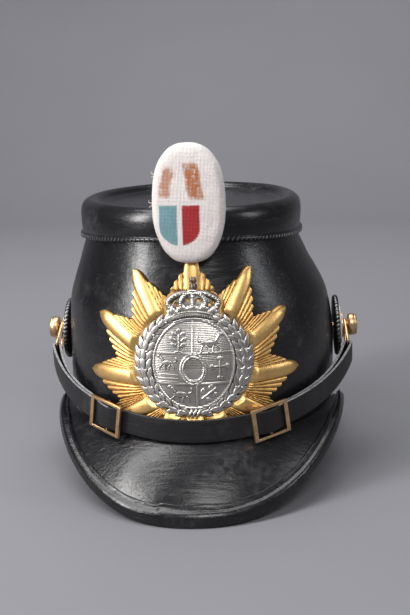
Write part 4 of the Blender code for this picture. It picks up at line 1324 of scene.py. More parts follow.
@dataclass
class Emblem:
    """The white-metal laurel wreath, the crown on it and the oval shield inside it."""

    finishes: Finishes
    height: float = 0.0822
    base: float = 0.0018
    aside: float = 0.0010
    outer_half: Pair = (0.0338, 0.0300)
    shield_half: Pair = (0.0232, 0.0262)
    shield_dome: float = 0.0016
    shield_thickness: float = 0.0012
    rim_width: float = 0.0016
    rim_relief: float = 0.0006
    leaf_stations: int = 14
    leaf_length: float = 0.0108
    leaf_width: float = 0.0043
    leaf_rows: tuple[Triple, ...] = ((0.80, -0.46, 0.0010), (0.24, 0.46, 0.0009), (0.52, 0.04, 0.0017))
    crown_half: float = 0.0130
    crown_foot: float = 0.1090
    crown_arch: float = 0.1222
    stud_top: float = 0.1303
    crown_openings: tuple[Pair, ...] = (
        (-0.0092, 0.0332), (-0.0027, 0.0356), (0.0031, 0.0354), (0.0090, 0.0330),
    )
    opening_radius: float = 0.0013
    ring_half: Pair = (0.0068, 0.0085)
    ring_up: float = -0.0024
    upper_parting: float = 0.0064
    lower_parting: float = -0.0108
    parting_relief: float = 0.0004
    branch_place: Pair = (-0.0078, 0.0128)
    cross_place: Pair = (0.0143, -0.0022)
    crossed_place: Pair = (0.0082, -0.0164)
    beasts: tuple[tuple[float, ...], ...] = (
        (0.0088, 0.0118, 1.25, 1), (-0.0140, 0.0010, 0.95, -1), (-0.0070, -0.0168, 1.15, -1),
    )
    stud_profile: tuple[Pair, ...] = (
        (0.0, 0.55), (0.10, 0.80), (0.30, 1.0), (0.52, 0.98), (0.60, 0.74), (0.68, 0.96), (0.88, 0.98),
        (1.0, 0.70),
    )

    def flat(self, across: float, up: float, out: float) -> Vector:
        """A point laid on the hat's front, from the emblem's centre."""
        return WALL.wrap(across + self.aside, self.height + up, self.base + out)

    def blade(self, at: Pair, turn: float, length: float, width: float, lift: float,
              thick: float = 0.0011, point: float = 0.75) -> Mesh:
        """A small convex leaf with a vein, laid on the hat's front.

        Args:
            at: its middle, across and up from the emblem's centre.
            turn: its direction from straight up, towards +X.
            length: its length.
            width: its width.
            lift: the height of its middle above the emblem's base.
            thick: its half thickness.
            point: how sharply its ends close, from 0 to 1.

        Returns:
            The mesh, with its tone of painted highlight and shade.
        """
        bm = bmesh.new()
        layer = bm.verts.layers.float.new("tone")
        bmesh.ops.create_uvsphere(bm, u_segments=14, v_segments=10, radius=1.0)
        for vert in bm.verts:
            x, y, z = vert.co.x, vert.co.z, vert.co.y
            side = x * (1 - point * abs(y) ** 1.6)
            vein = math.exp(-(x / 0.22) ** 2) if z > 0 else 0.0
            # The tone is painted light: a highlight on the leaf's front, painted shade on its sides, its back
            # and its vein.
            vert[layer] = 0.10 + 0.9 * max(0.0, z) ** 0.8 - 0.55 * vein * (1 - abs(y))
            local = Vector((side * width / 2, y * length / 2))
            across = at[0] + local.x * math.cos(turn) + local.y * math.sin(turn)
            up = at[1] - local.x * math.sin(turn) + local.y * math.cos(turn)
            vert.co = self.flat(across, up, lift + thick * (z - 0.30 * vein))
        return bm

    def ball(self, at: Pair, radius: float, lift: float, tone: float = 0.9) -> Mesh:
        """A round berry or bead, with painted shade at its back.

        Args:
            at: its middle, across and up from the emblem's centre.
            radius: its radius.
            lift: the height of its middle above the emblem's base.
            tone: how bright its painted highlight at the front is.

        Returns:
            The mesh, with its tone.
        """
        bm = bmesh.new()
        layer = bm.verts.layers.float.new("tone")
        centre = self.flat(at[0], at[1], lift)
        bmesh.ops.create_icosphere(bm, subdivisions=2, radius=radius, matrix=Matrix.Translation(centre))
        for vert in bm.verts:
            # Painted highlight on the front half, painted shade on the back half.
            vert[layer] = tone if vert.co.y < centre.y else 0.2
        return bm

    def wire(self, points: Sequence[Triple], radius: float, tone: float = 0.8) -> Mesh:
        """A round bar through points.

        Args:
            points: the points, each across, up and out.
            radius: the bar's radius.
            tone: how bright it is.

        Returns:
            The mesh, with its tone.
        """
        bm = BENCH.tube([self.flat(*point) for point in points], radius, 8, 4)
        layer = bm.verts.layers.float.new("tone")
        for vert in bm.verts:
            vert[layer] = tone
        return bm

    def build(self) -> None:
        """Builds wreath, crown and shield."""
        silver = [self.finishes.silver]
        wreath = BENCH.join(self.wreath() + self.crown())
        BENCH.piece("laurel_wreath_and_crown", wreath, silver, ["wreath_and_crown"],
                    recalc=False, smooth_angle=70)
        BENCH.piece("crown_stud", self.stud(), [self.finishes.stud], smooth_angle=30)
        self.shield()
        BENCH.piece("shield_charges", BENCH.join(self.charges()), silver, recalc=False,
                    smooth_angle=70)

    def ring_place(self, turn: float, share: float) -> Pair:
        """A place between the shield (share 0) and the wreath's outer edge (share 1)."""
        half = [a + (b - a) * share for a, b in zip(self.shield_half, self.outer_half)]
        return half[0] * math.sin(turn), half[1] * math.cos(turn)

    def wreath(self) -> list[Mesh]:
        """Two laurel branches that rise from their tie at the foot.

        Returns:
            The meshes of leaves, berries, stems, tie and the sheets of painted shade.
        """
        parts: list[Mesh] = []
        count = self.leaf_stations
        for side in (-1, 1):
            stem = [(*self.ring_place(side * math.pi, 0.5), 0.0006)]
            for i in range(1, count + 1):
                turn = math.pi - (math.pi - math.radians(27)) * i / count
                x, y = self.ring_place(side * turn, 0.5)
                stem.append((x, y, 0.0006))
                ahead = self.ring_place(side * (turn - 0.02), 0.5)
                way = math.atan2(ahead[0] - x, ahead[1] - y)
                inner, outer = (math.hypot(*self.ring_place(side * turn, share)) for share in (0.0, 1.0))
                size = 0.62 + 0.38 * min((outer - inner) / 0.011, 1.0)
                length, width = self.leaf_length * size, self.leaf_width * size
                for share, fan, lift in self.leaf_rows:
                    at = self.ring_place(side * (turn - 0.03 * (share > 0.5)), share)
                    wobble = 0.34 * waver(Vector((i * 1.3, side * 2.0, share * 5)), 1.0)
                    parts.append(self.blade(at, way - side * fan + wobble, length, width, lift, 0.0009, 0.92))
                if i % 2 == 0:
                    parts += [self.ball(self.ring_place(side * (turn + 0.10), share), 0.00085, 0.0019)
                              for share in (0.34, 0.70)]
            parts += [self.wire(stem, 0.0007, 0.4), self.shade_sheet(side)]
        for across in (-0.0022, 0.0, 0.0022):
            parts.append(self.wire([(across - 0.0012, -0.0306, 0.0012), (across, -0.0280, 0.0024),
                                    (across + 0.0012, -0.0256, 0.0012)], 0.0008))
        return parts

    def shade_sheet(self, side: int) -> Mesh:
        """A sheet of painted shade under one branch's leaves, with uneven edges.

        Args:
            side: -1 for the left branch, 1 for the right one.

        Returns:
            The mesh.
        """
        rows = 8

        def shape(share: float, row: int) -> Vector:
            """A point of the sheet."""
            turn = math.pi - (math.pi - math.radians(24)) * share
            inner = 0.34 + 0.20 * waver(Vector((share * 9, side * 3.0, 0.0)), 0.7)
            outer = 0.86 + 0.10 * waver(Vector((share * 9, side * 5.0, 2.0)), 0.5)
            x, y = self.ring_place(side * turn, inner + (outer - inner) * row / rows)
            return self.flat(x, y, 0.0006 + 0.0005 * math.sin(math.pi * row / rows))

        # Tone 0 gives the sheet the metal's painted shade colour, to darken the gaps between the leaves.
        return BENCH.grid(96, shape, rows, {"tone": lambda share, row: 0.0})

    def crown_sheet(self) -> Mesh:
        """The crown's body between its arches, pierced by four small openings.

        Returns:
            The mesh.
        """
        rows = 30
        foot = self.crown_foot - self.height
        rise = self.crown_arch - self.crown_foot - 0.0012

        def shape(share: float, row: int) -> Vector:
            """A point of the sheet."""
            across, up = share * 2 - 1, row / rows
            half = self.crown_half * (0.86 + 0.24 * math.sin(math.pi * min(up * 0.9, 1.0)))
            top = rise * math.sqrt(max(0.0, 1 - (across * 0.93) ** 2))
            lift = 0.0008 + 0.0010 * math.sqrt(max(0.0, 1 - across * across))
            return self.flat(across * half, foot - 0.0020 * across * across * (1 - up) + top * up, lift)

        bm = BENCH.grid(72, shape, rows, {"tone": lambda share, row: 0.30 + 0.15 * math.sin(row * 1.1)})
        openings = [self.flat(x, y, 0.0016) for x, y in self.crown_openings]
        reach = self.opening_radius
        gone = [face for face in bm.faces
                if any((face.calc_center_median() - place).length < reach for place in openings)]
        bmesh.ops.delete(bm, geom=gone, context="FACES")
        return bm

    def crown(self) -> list[Mesh]:
        """The crown: a dotted band, five fleurons and five beaded arches.

        Returns:
            The meshes of all its parts.
        """
        parts: list[Mesh] = []
        foot = self.crown_foot - self.height
        top = self.crown_arch - self.height
        half = self.crown_half

        def band(share: float, rise: float) -> Pair:
            """A place on the crown's band."""
            return share * half * 0.84, foot + rise - 0.0022 * share * share

        for rise, radius in ((-0.0014, 0.00065), (0.0024, 0.00060)):
            line = [(*band(s / 6, rise), 0.0016) for s in range(-6, 7)]
            parts.append(self.wire(line, radius))
        middle = [(*band(s / 6, 0.0005), 0.0011) for s in range(-6, 7)]
        parts.append(self.wire(middle, 0.0017, 0.25))
        for s in range(-8, 9):
            parts.append(self.ball(band(s / 8.5, 0.0005), 0.00062, 0.0022))
        for number in range(5):
            share = (number - 2) / 2
            x, y = band(share, 0.0040)
            parts.append(self.blade((x, y + 0.0014), 0.25 * share, 0.0054, 0.0038, 0.0017))
            for lean in (-1, 1):
                turn = 0.25 * share + lean * 0.9
                parts.append(self.blade((x + lean * 0.0018, y + 0.0004), turn, 0.0040, 0.0026, 0.0015))
        for share in (-1.0, -0.52, 0.0, 0.52, 1.0):
            x, y = band(share * 0.98, 0.0030)
            bulge = share * half * (1.05 if abs(share) > 0.9 else 0.98)
            line = [(x, y, 0.0014), (bulge, foot + 0.0062, 0.0018), (bulge * 0.90, foot + 0.0092, 0.0020),
                    (bulge * 0.50, top - 0.0012, 0.0021), (0.0006 * share, top - 0.0006, 0.0020)]
            if share == 0.0:
                line = [(0.0, y, 0.0014), (0.0, foot + 0.0062, 0.0021), (0.0, foot + 0.0092, 0.0023),
                        (0.0, top, 0.0022)]
            parts.append(self.wire([(a, b, c - 0.0008) for a, b, c in line], 0.00175, 0.50))
            for row in smooth_rows(line, 3)[2:-1]:
                parts.append(self.ball((row[0], row[1]), 0.00080, row[2] + 0.0006))
        parts.append(self.crown_sheet())
        parts.append(self.wire([(-0.0030, top - 0.0003, 0.0020), (0.0, top + 0.0006, 0.0024),
                                (0.0030, top - 0.0003, 0.0020)], 0.0009))
        return parts

    def stud(self) -> Mesh:
        """The dark knurled stud on top of the crown.

        Returns:
            The mesh, with its tone.
        """
        low = self.crown_arch - 0.0002
        span = self.stud_top - low
        profile = self.stud_profile

        def shape(share: float, row: int) -> Vector:
            """A point of the stud's skin."""
            up, size = profile[row]
            turn = TURN * share
            knurl = 1 + 0.10 * math.cos(turn * 9 + up * 5)
            across = 0.0023 * size * knurl * math.sin(turn)
            out = 0.0016 * size * knurl * math.cos(turn)
            return WALL.wrap(across + self.aside, low + up * span, self.base + 0.0012 + out)

        def tone(share: float, row: int) -> float:
            """How bright a point of the stud is painted: highlight on the knurl's ridges, shade between them.
            """
            return 0.5 + 0.5 * math.cos(TURN * share * 9 + profile[row][0] * 5)

        bm = BENCH.grid(72, shape, len(profile) - 1, {"tone": tone})
        BENCH.close(bm)
        return bm

    def shield_lift(self, across: float, up: float) -> Pair:
        """The shield's relief at a place.

        Args:
            across: the place across, from the shield's middle.
            up: the place up, from the shield's middle.

        Returns:
            The height of the shield's front above the emblem's base, and its tone of painted highlight and
            shade.
        """
        share = math.hypot(across / self.shield_half[0], up / self.shield_half[1])
        lift = self.shield_thickness + self.shield_dome * max(0.0, 1 - share * share)
        inner = 1 - self.rim_width / self.shield_half[0]
        if share > inner:
            part = (share - inner) / (1 - inner)
            # Painted highlight on the raised rim.
            return lift + self.rim_relief * math.sin(math.pi * min(part * 1.15, 1.0)) ** 0.6, 0.9
        # Painted shade darkens the field next to the raised rim.
        tone = 0.62 - 0.35 * (1 - smooth_share(share, inner, inner - 0.03))
        ring = math.hypot(across / self.ring_half[0], (up - self.ring_up) / self.ring_half[1])
        # Painted highlight on the ring's two raised bars.
        for size, width in ((1.0, 0.050), (0.82, 0.040)):
            bar = math.exp(-((ring - size) / width) ** 2)
            lift += self.parting_relief * bar
            tone += 0.30 * bar
        if ring > 1.08:
            lines = [abs(up - self.upper_parting), abs(up - self.lower_parting)]
            if not self.lower_parting <= up <= self.upper_parting:
                lines.append(abs(across + (0.0004 if up > 0 else -0.0018)))
            gap = min(lines)
            line = math.exp(-(gap / 0.0004) ** 2)
            lift += self.parting_relief * line
            # Painted highlight on each raised parting and painted shade beside it.
            tone += 0.30 * line - 0.22 * math.exp(-((gap - 0.0011) / 0.0005) ** 2)
        elif ring < 0.76:
            lift -= 0.0002
            # Painted shadow in the upper half of the sunken middle, painted light in its lower half.
            tone += -0.28 if up > self.ring_up else 0.05
        return lift, tone

    def shield(self) -> None:
        """The domed oval shield with its raised rim, partings and central ring."""
        rows, back = 66, 4

        def locate(share: float, row: int) -> Pair:
            """The place across and up of a point."""
            part = row / back if row <= back else 1 - (row - back - 1) / (rows - 1)
            turn = TURN * share
            return self.shield_half[0] * part * math.sin(turn), self.shield_half[1] * part * math.cos(turn)

        def shape(share: float, row: int) -> Vector:
            """A point of the shield's skin."""
            across, up = locate(share, row)
            return self.flat(across, up, self.shield_lift(across, up)[0] if row > back else 0.0)

        def tone(share: float, row: int) -> float:
            """How bright a point of the shield is painted, as highlight and shade from its relief."""
            return self.shield_lift(*locate(share, row))[1] if row > back else 0.3

        bm = BENCH.grid(256, shape, rows + back, {"tone": tone})
        BENCH.piece("domed_shield", bm, [self.finishes.shield], ["oval_shield"],
                    smooth_angle=60)

    def charges(self) -> list[Mesh]:
        """Plain heraldic reliefs in the shield's six fields.

        Returns:
            The meshes of all the reliefs.
        """
        parts: list[Mesh] = []

        def lift(x: float, y: float) -> float:
            """How high a relief lies on the shield."""
            return self.shield_lift(x, y)[0] + 0.0001

        def leaf(x: float, y: float, turn: float, length: float, width: float, point: float = 0.75) -> None:
            """Adds a leaf."""
            parts.append(self.blade((x, y), turn, length, width, lift(x, y), 0.0008, point))

        def bar(points: Sequence[Pair], radius: float) -> None:
            """Adds a round bar."""
            parts.append(self.wire([(x, y, lift(x, y) + 0.0001) for x, y in points], radius, 0.75))

        def beast(x: float, y: float, size: float, face: int) -> None:
            """Adds a walking beast.

            Args:
                x: its middle across.
                y: its middle up.
                size: its size, near 1.
                face: -1 if it faces left, 1 if it faces right.
            """
            def spot(dx: float, dy: float) -> Pair:
                """A place of the beast."""
                return x + face * dx * size, y + dy * size

            leaf(*spot(0.0, 0.0), QUARTER, 0.0078 * size, 0.0034 * size, 0.4)
            bar([spot(0.0024, 0.0006), spot(0.0036, 0.0024), spot(0.0042, 0.0038)], 0.0008 * size)
            leaf(*spot(0.0052, 0.0038), face * 1.9, 0.0032 * size, 0.0020 * size, 0.5)
            for start, lean in ((-0.0027, -0.4), (-0.0017, 0.5), (0.0018, -0.2), (0.0028, 0.8)):
                bar([spot(start, -0.0006), spot(start + lean * 0.0022, -0.0026),
                     spot(start + lean * 0.0026, -0.0044)], 0.00046 * size)
            bar([spot(-0.0034, 0.0004), spot(-0.0052, 0.0016), spot(-0.0048, 0.0036)], 0.00042 * size)

        x, y = self.branch_place
        bar([(x, y - 0.0056), (x + 0.0002, y), (x, y + 0.0044)], 0.0007)
        for level, size in ((-0.0024, 0.0046), (0.0006, 0.0056), (0.0036, 0.0044)):
            for side in (-1, 1):
                leaf(x + side * size * 0.52, y + level + 0.0008, side * 1.05, size, 0.0026)
        leaf(x, y + 0.0062, 0.0, 0.0038, 0.0026)
        bar([(x - 0.0026, y - 0.0060), (x, y - 0.0052), (x + 0.0026, y - 0.0060)], 0.0006)
        for row in self.beasts:
            beast(*row)
        for level in (-0.0056, -0.0078, -0.0096):
            bar([(-0.0196, level), (-0.0140, level + 0.0002), (-0.0082, level)], 0.00045)
        x, y = self.cross_place
        bar([(x, y - 0.0062), (x, y + 0.0062)], 0.0009)
        bar([(x - 0.0046, y + 0.0010), (x + 0.0046, y + 0.0010)], 0.0009)
        for dx, dy, turn in ((0, 0.0060, 0.0), (0, -0.0060, math.pi), (-0.0046, 0.0010, -1.57),
                             (0.0046, 0.0010, 1.57)):
            leaf(x + dx * 0.9, y + dy * 0.9, turn, 0.0036, 0.0040, 0.5)
        x, y = self.crossed_place
        bar([(x - 0.0044, y - 0.0034), (x, y), (x + 0.0040, y + 0.0034)], 0.0009)
        for dx, dy, turn in ((-0.0034, 0.0014, 0.2), (0.0010, 0.0036, 0.5), (0.0034, -0.0006, 1.4),
                             (-0.0006, -0.0036, 2.0)):
            leaf(x + dx, y + dy, turn, 0.0046, 0.0030, 0.6)
        return parts


@dataclass
class FieldBadge:
    """The padded oblong cotton badge with its parted shield and worn stains."""

    finishes: Finishes
    half_width: float = 0.0205
    bottom: float = 0.1384
    tall: float = 0.0668
    thickness: float = 0.0092
    roundness: float = 2.4
    pin_height: float = 0.152
    standoff: float = 0.0016
    columns: int = 260
    rows: int = 96
    profile: tuple[tuple[float, ...], ...] = (
        (0.00, 0.00), (0.55, 0.00), (0.86, 0.03), (0.965, 0.16), (1.00, 0.40), (0.965, 0.68), (0.86, 0.885),
        (0.66, 0.965), (0.36, 0.99), (0.00, 1.00),
    )
    patch_top: float = -0.0006
    patch_middle: float = -0.0050
    patch_half: float = 0.0112
    patch_gap: float = 0.0014
    patch_drop: float = 0.0226
    patch_side: float = 0.0122
    patch_soft: float = 0.0004
    thread_radius: float = 0.00014
    threads: tuple[Triple, ...] = (
        (0.1882, 0.0020, 1.0), (0.1870, 0.0014, -0.6), (0.1722, 0.0022, 0.9), (0.1708, 0.0017, -1.0),
    )
    stains: tuple[tuple[float, ...], ...] = (
        (-0.0108, 0.0200, -0.0134, 0.0042, 0.0035, 1.5),
        (0.0012, 0.0220, 0.0046, 0.0034, 0.0046, 2.3),
    )

    @property
    def back(self) -> float:
        """The distance of the badge's back from the hat's middle."""
        front = WALL.half_axes(self.pin_height)[2]
        return front + WALL.fit_gap + 0.0026 * 1.12 + self.standoff

    def patch(self, x: float, y: float, side: int) -> float:
        """How much of the printed shield covers a place.

        Args:
            x: the place across, from the badge's middle.
            y: the place up, from the badge's middle.
            side: -1 for the shield's left half, 1 for its right half.

        Returns:
            The cover, from 0 to 1.
        """
        depth = self.patch_top - y
        from_middle = (x - self.patch_middle) * side
        bow = math.sqrt(max(0.0, 1 - (max(from_middle, 0.0) / (self.patch_half * 1.01)) ** 2))
        drop = self.patch_side + (self.patch_drop - self.patch_side) * bow
        edges = (from_middle - self.patch_gap, self.patch_half - from_middle, depth, drop - depth)
        cover = 1.0
        for distance in edges:
            cover *= smooth_share(distance, -self.patch_soft, self.patch_soft)
        return cover

    def stain(self, x: float, y: float) -> float:
        """How strongly a worn stain colours a place.

        Args:
            x: the place across, from the badge's middle.
            y: the place up, from the badge's middle.

        Returns:
            The strength, from 0 upwards.
        """
        best = 0.0
        for x0, y0, x1, y1, half, strength in self.stains:
            share = min(max((y0 - y) / (y0 - y1), -0.4), 1.4)
            middle = x0 + (x1 - x0) * share + 0.0003 * math.sin(share * 7.0)
            across = 1 - smooth_share(abs(x - middle), half * 0.50, half * 1.15)
            ends = smooth_share(share, -0.10, 0.14) * (1 - smooth_share(share, 0.88, 1.12))
            patchy = 0.95 + 0.8 * waver(Vector((x, y, 0.0)), 0.0026, 9.0 * half * 100)
            best = max(best, strength * across * ends * min(max(patchy, 0.0), 1.0))
        return best

    def build(self) -> None:
        """Builds the badge and its loose threads."""
        profile = smooth_rows(self.profile, 11)
        front_from = next(i for i, row in enumerate(profile) if row[1] > 0.5)
        half_height = self.tall / 2
        centre = self.bottom + half_height

        def outline(share: float) -> Pair:
            """The badge's outline.

            Args:
                share: the share of the way round.

            Returns:
                The place across and up from the badge's middle.
            """
            turn = TURN * share
            s, c = math.sin(turn), math.cos(turn)
            scale = (abs(s) ** self.roundness + abs(c) ** self.roundness) ** (-1 / self.roundness)
            return self.half_width * scale * s, half_height * scale * c

        lengths = [0.0]
        for low, high in zip(profile, profile[1:]):
            step = math.hypot((high[0] - low[0]) * self.half_width, (high[1] - low[1]) * self.thickness)
            lengths.append(lengths[-1] + step)
        whole = lengths[-1]

        def shape(share: float, row: int) -> Vector:
            """A point of the badge's skin."""
            size, depth = profile[row]
            x, y = outline(share)
            place = Vector((x * size, -self.back - depth * self.thickness, centre + y * size))
            swell = 0.00035 * waver(place, 0.012, 1.0) + 0.00012 * waver(place, 0.004, 2.0)
            away = Vector((x, 0.0, y)).normalized() * (1 if 0.05 < depth < 0.97 else 0)
            return place + away * swell * 1.2 + Vector((0.0, -swell * smooth_share(depth, 0.5, 0.9), 0.0))

        def flat(share: float, row: int) -> Vector:
            """A point's place in the cloth laid flat.

            Args:
                share: the share of the way round.
                row: the row, from the back's middle to the front's.

            Returns:
                The place, in metres from the cloth's middle.
            """
            x, y = outline(share)
            far = (whole - lengths[row]) / self.half_width
            return Vector((x * far, y * far, 0.0))

        def tone(kind: Callable[[float, float], float]) -> GridTone:
            """Turns a value of places on the badge's front into one of the grid.

            Args:
                kind: the value, by the place across and up.

            Returns:
                The value, by share and row.
            """
            def read(share: float, row: int) -> float:
                """The value at a point, which is 0 behind the front."""
                x, y = outline(share)
                return kind(x * profile[row][0], y * profile[row][0]) if row >= front_from else 0.0
            return read

        tones = {
            "blue": tone(lambda x, y: self.patch(x, y, -1)),
            "red": tone(lambda x, y: self.patch(x, y, 1)),
            "stain": tone(self.stain),
        }
        bm = BENCH.grid(self.columns, shape, len(profile) - 1, tones, flat)
        badge = BENCH.piece("padded_badge", bm, [self.finishes.cotton], ["field_badge"])
        threads = [BENCH.tube(line, self.thread_radius, 6, 4) for line in self.loose_threads()]
        BENCH.piece("badge_threads", BENCH.join(threads), [self.finishes.cotton],
                    smooth_angle=80)

    def loose_threads(self) -> list[list[Triple]]:
        """The lines of a few frayed threads at the badge's left edge.

        Returns:
            The points of each thread.
        """
        lines = []
        out = -self.back - self.thickness * 0.45
        for height, length, curl in self.threads:
            rise = (height - self.bottom) / self.tall * 2 - 1
            edge = -self.half_width * (1 - abs(rise) ** self.roundness) ** (1 / self.roundness)
            lines.append([(edge + 0.0010, out, height),
                          (edge - length * 0.45, out - 0.0004, height + curl * length * 0.10),
                          (edge - length * 0.8, out - 0.0002, height + curl * length * 0.42),
                          (edge - length * 0.7, out, height + curl * length * 0.80)])
        return lines


@dataclass
class ChinStrap:
    """The leather strap, its slide buckles and the wire links at its ends."""

    finishes: Finishes
    strap_width: float = 0.0135
    edge_round: float = 0.00035
    light_edge_from: float = 0.049
    buckle_round: float = 0.00028
    link_round: float = 0.0001

    def build(self) -> None:
        """Builds strap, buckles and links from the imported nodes, with their edges rounded."""
        brass = [self.finishes.brass]
        self.strap()
        for side in Side:
            buckle, loop = "buckle_" + side.word, "strap_loop_" + side.word
            bm = BENCH.round_edges(BENCH.merged_node(buckle, 12, 60), self.buckle_round, 2, 30)
            BENCH.piece("slide_" + buckle, bm, brass, [buckle])
            bm = BENCH.round_edges(BENCH.merged_node(loop, 12, 60), self.link_round, 1, 85)
            link = BENCH.piece("wire_link_" + side.word, bm, brass, [loop], smooth_angle=80)
            self.refine(link)

    def refine(self, obj: Object) -> None:
        """Adds a subdivision to a piece."""
        smooth = obj.modifiers.new("smooth", "SUBSURF")
        smooth.levels = smooth.render_levels = 1

    def strap(self) -> None:
        """The strap, with its cut edges in their own finish."""
        finishes = [self.finishes.strap, self.finishes.cut_edge, self.finishes.dark_edge]
        bm = BENCH.merged_node("chin_strap", 25, 75)
        for face in bm.faces:
            wide = any(abs(edge.calc_length() - self.strap_width) < 0.0012
                       and abs((edge.verts[0].co - edge.verts[1].co).z) > 0.008 for edge in face.edges)
            outside = abs(face.calc_center_median().x) > self.light_edge_from
            face.material_index = 0 if wide else (1 if outside else 2)
        bm = BENCH.round_edges(bm, self.edge_round, 2, 55)
        self.refine(BENCH.piece("leather_strap", bm, finishes, ["chin_strap"]))


@dataclass
class SideFittings:
    """The cockades, discs and brass posts at the hat's sides."""

    finishes: Finishes
    post_height: float = 0.079
    post_tilt: float = math.radians(2.5)
    post_reach: float = 0.102
    shank_radius: float = 0.002
    inner_head_radius: float = 0.0045
    inner_head_seat: float = 0.0009
    inner_head: float = 0.0012
    cockade_radius: float = 0.020
    cockade_thickness: float = 0.0035
    cockade_standoff: float = 0.0007
    washer_radius: float = 0.0125
    washer_thickness: float = 0.0009
    flange_radius: float = 0.0086
    flange_thickness: float = 0.001
    knob_radius: float = 0.0072
    link_wire: float = 0.0022
    chamfer: float = 0.0002
    cord_width: float = 0.0016
    cord_sides: int = 14
    cord_strands: int = 44
    knob_profile: tuple[Pair, ...] = (
        (0.00, 0.62), (0.03, 0.78), (0.12, 0.95), (0.32, 1.00), (0.60, 0.98), (0.74, 0.93), (0.80, 0.94),
        (0.90, 0.90), (0.97, 0.74), (1.00, 0.40), (1.00, 0.0),
    )

    def build(self) -> None:
        """Builds the fittings on both sides."""
        for side in Side:
            self.one_side(side)

    def place(self, side: Side) -> Matrix:
        """The frame of a side post: local X runs outwards from the wall, a little upwards."""
        turn = Matrix.Rotation(0.0 if side is Side.RIGHT else math.pi, 4, "Z")
        tilt = Matrix.Rotation(-self.post_tilt, 4, "Y")
        return Matrix.Translation((side.value * WALL.half_width, 0, self.post_height)) @ turn @ tilt

    def one_side(self, side: Side) -> None:
        """Builds one cockade, its corded edge, its disc and its post.

        Args:
            side: the side that they stand on.
        """
        word = side.word
        place = self.place(side)
        gap, edge = WALL.fit_gap, self.chamfer
        start, thick, shank = self.cockade_standoff, self.cockade_thickness, self.shank_radius
        washer = start + thick + gap
        flange = washer + self.washer_thickness + gap
        flange_end = flange + self.flange_thickness
        knob = flange_end + self.link_wire + 3 * gap
        end = self.post_reach - WALL.half_width
        hole = shank + gap
        inner = self.cockade_radius - 0.0030
        disc = [(start, hole), (start, inner), (start + 0.0005, inner + 0.0006),
                (start + thick * 0.8, inner + 0.0006), (start + thick * 0.92, inner - 0.0008),
                (start + thick * 0.86, inner - 0.0030), (start + thick * 0.98, 0.0135),
                (start + thick, 0.0120), (start + thick, hole), (start, hole)]
        BENCH.piece("cockade_disc_" + word, BENCH.turned(disc, place, 96), [self.finishes.cockade],
                    ["cockade_" + word])
        BENCH.piece("cockade_cord_" + word, self.cord_edge(place, start), [self.finishes.cord],
                    smooth_angle=70)
        radius, top = self.washer_radius, washer + self.washer_thickness
        disc = [(washer, hole), (washer, radius - edge), (washer + edge, radius),
                (washer + self.washer_thickness - edge, radius), (top, radius - edge), (top, hole),
                (washer, hole)]
        BENCH.piece("white_disc_" + word, BENCH.turned(disc, place, 96), [self.finishes.disc],
                    ["cockade_washer_" + word])
        head, head_radius = -WALL.leather - self.inner_head_seat, self.inner_head_radius
        radius = self.flange_radius
        post = [(head - self.inner_head, 0.0), (head - self.inner_head, head_radius * 0.85),
                (head - self.inner_head * 0.5, head_radius), (head, head_radius), (head, shank),
                (flange, shank), (flange, radius - edge), (flange + edge, radius),
                (flange_end - edge, radius), (flange_end, radius - edge * 2), (flange_end, shank),
                (knob, shank)]
        post += [(knob + along * (end - knob), max(size, 0.0) * self.knob_radius)
                 for along, size in smooth_rows(self.knob_profile, 3)]
        BENCH.piece("brass_post_" + word, BENCH.turned(post, place, 72), [self.finishes.knob],
                    ["side_post_" + word], smooth_angle=35)

    def cord_edge(self, place: Matrix, start: float) -> Mesh:
        """The silver strands twisted round a cockade's edge.

        Args:
            place: the side post's frame.
            start: how far the cockade stands off the wall.

        Returns:
            The mesh, with its tone.
        """
        ring = self.cockade_radius - self.cord_width
        half = self.cockade_thickness / 2
        sides = self.cord_sides

        def strand(share: float, row: int) -> float:
            """How near a point lies to a strand's crest, which is also its tone: painted highlight on the
            crests, painted shade between the strands.
            """
            return abs(math.sin(math.pi * (share * self.cord_strands + row / sides)))

        def shape(share: float, row: int) -> Vector:
            """A point of the cord's skin."""
            turn, around = TURN * share, TURN * row / sides
            bump = 0.00042 * (strand(share, row) ** 0.7 - 1)
            reach = ring + (self.cord_width + bump) * math.cos(around)
            along = start + half + (half + bump) * math.sin(around)
            return place @ Vector((along, reach * math.cos(turn), reach * math.sin(turn)))

        return BENCH.grid(self.cord_strands * 8, shape, sides, {"tone": strand})


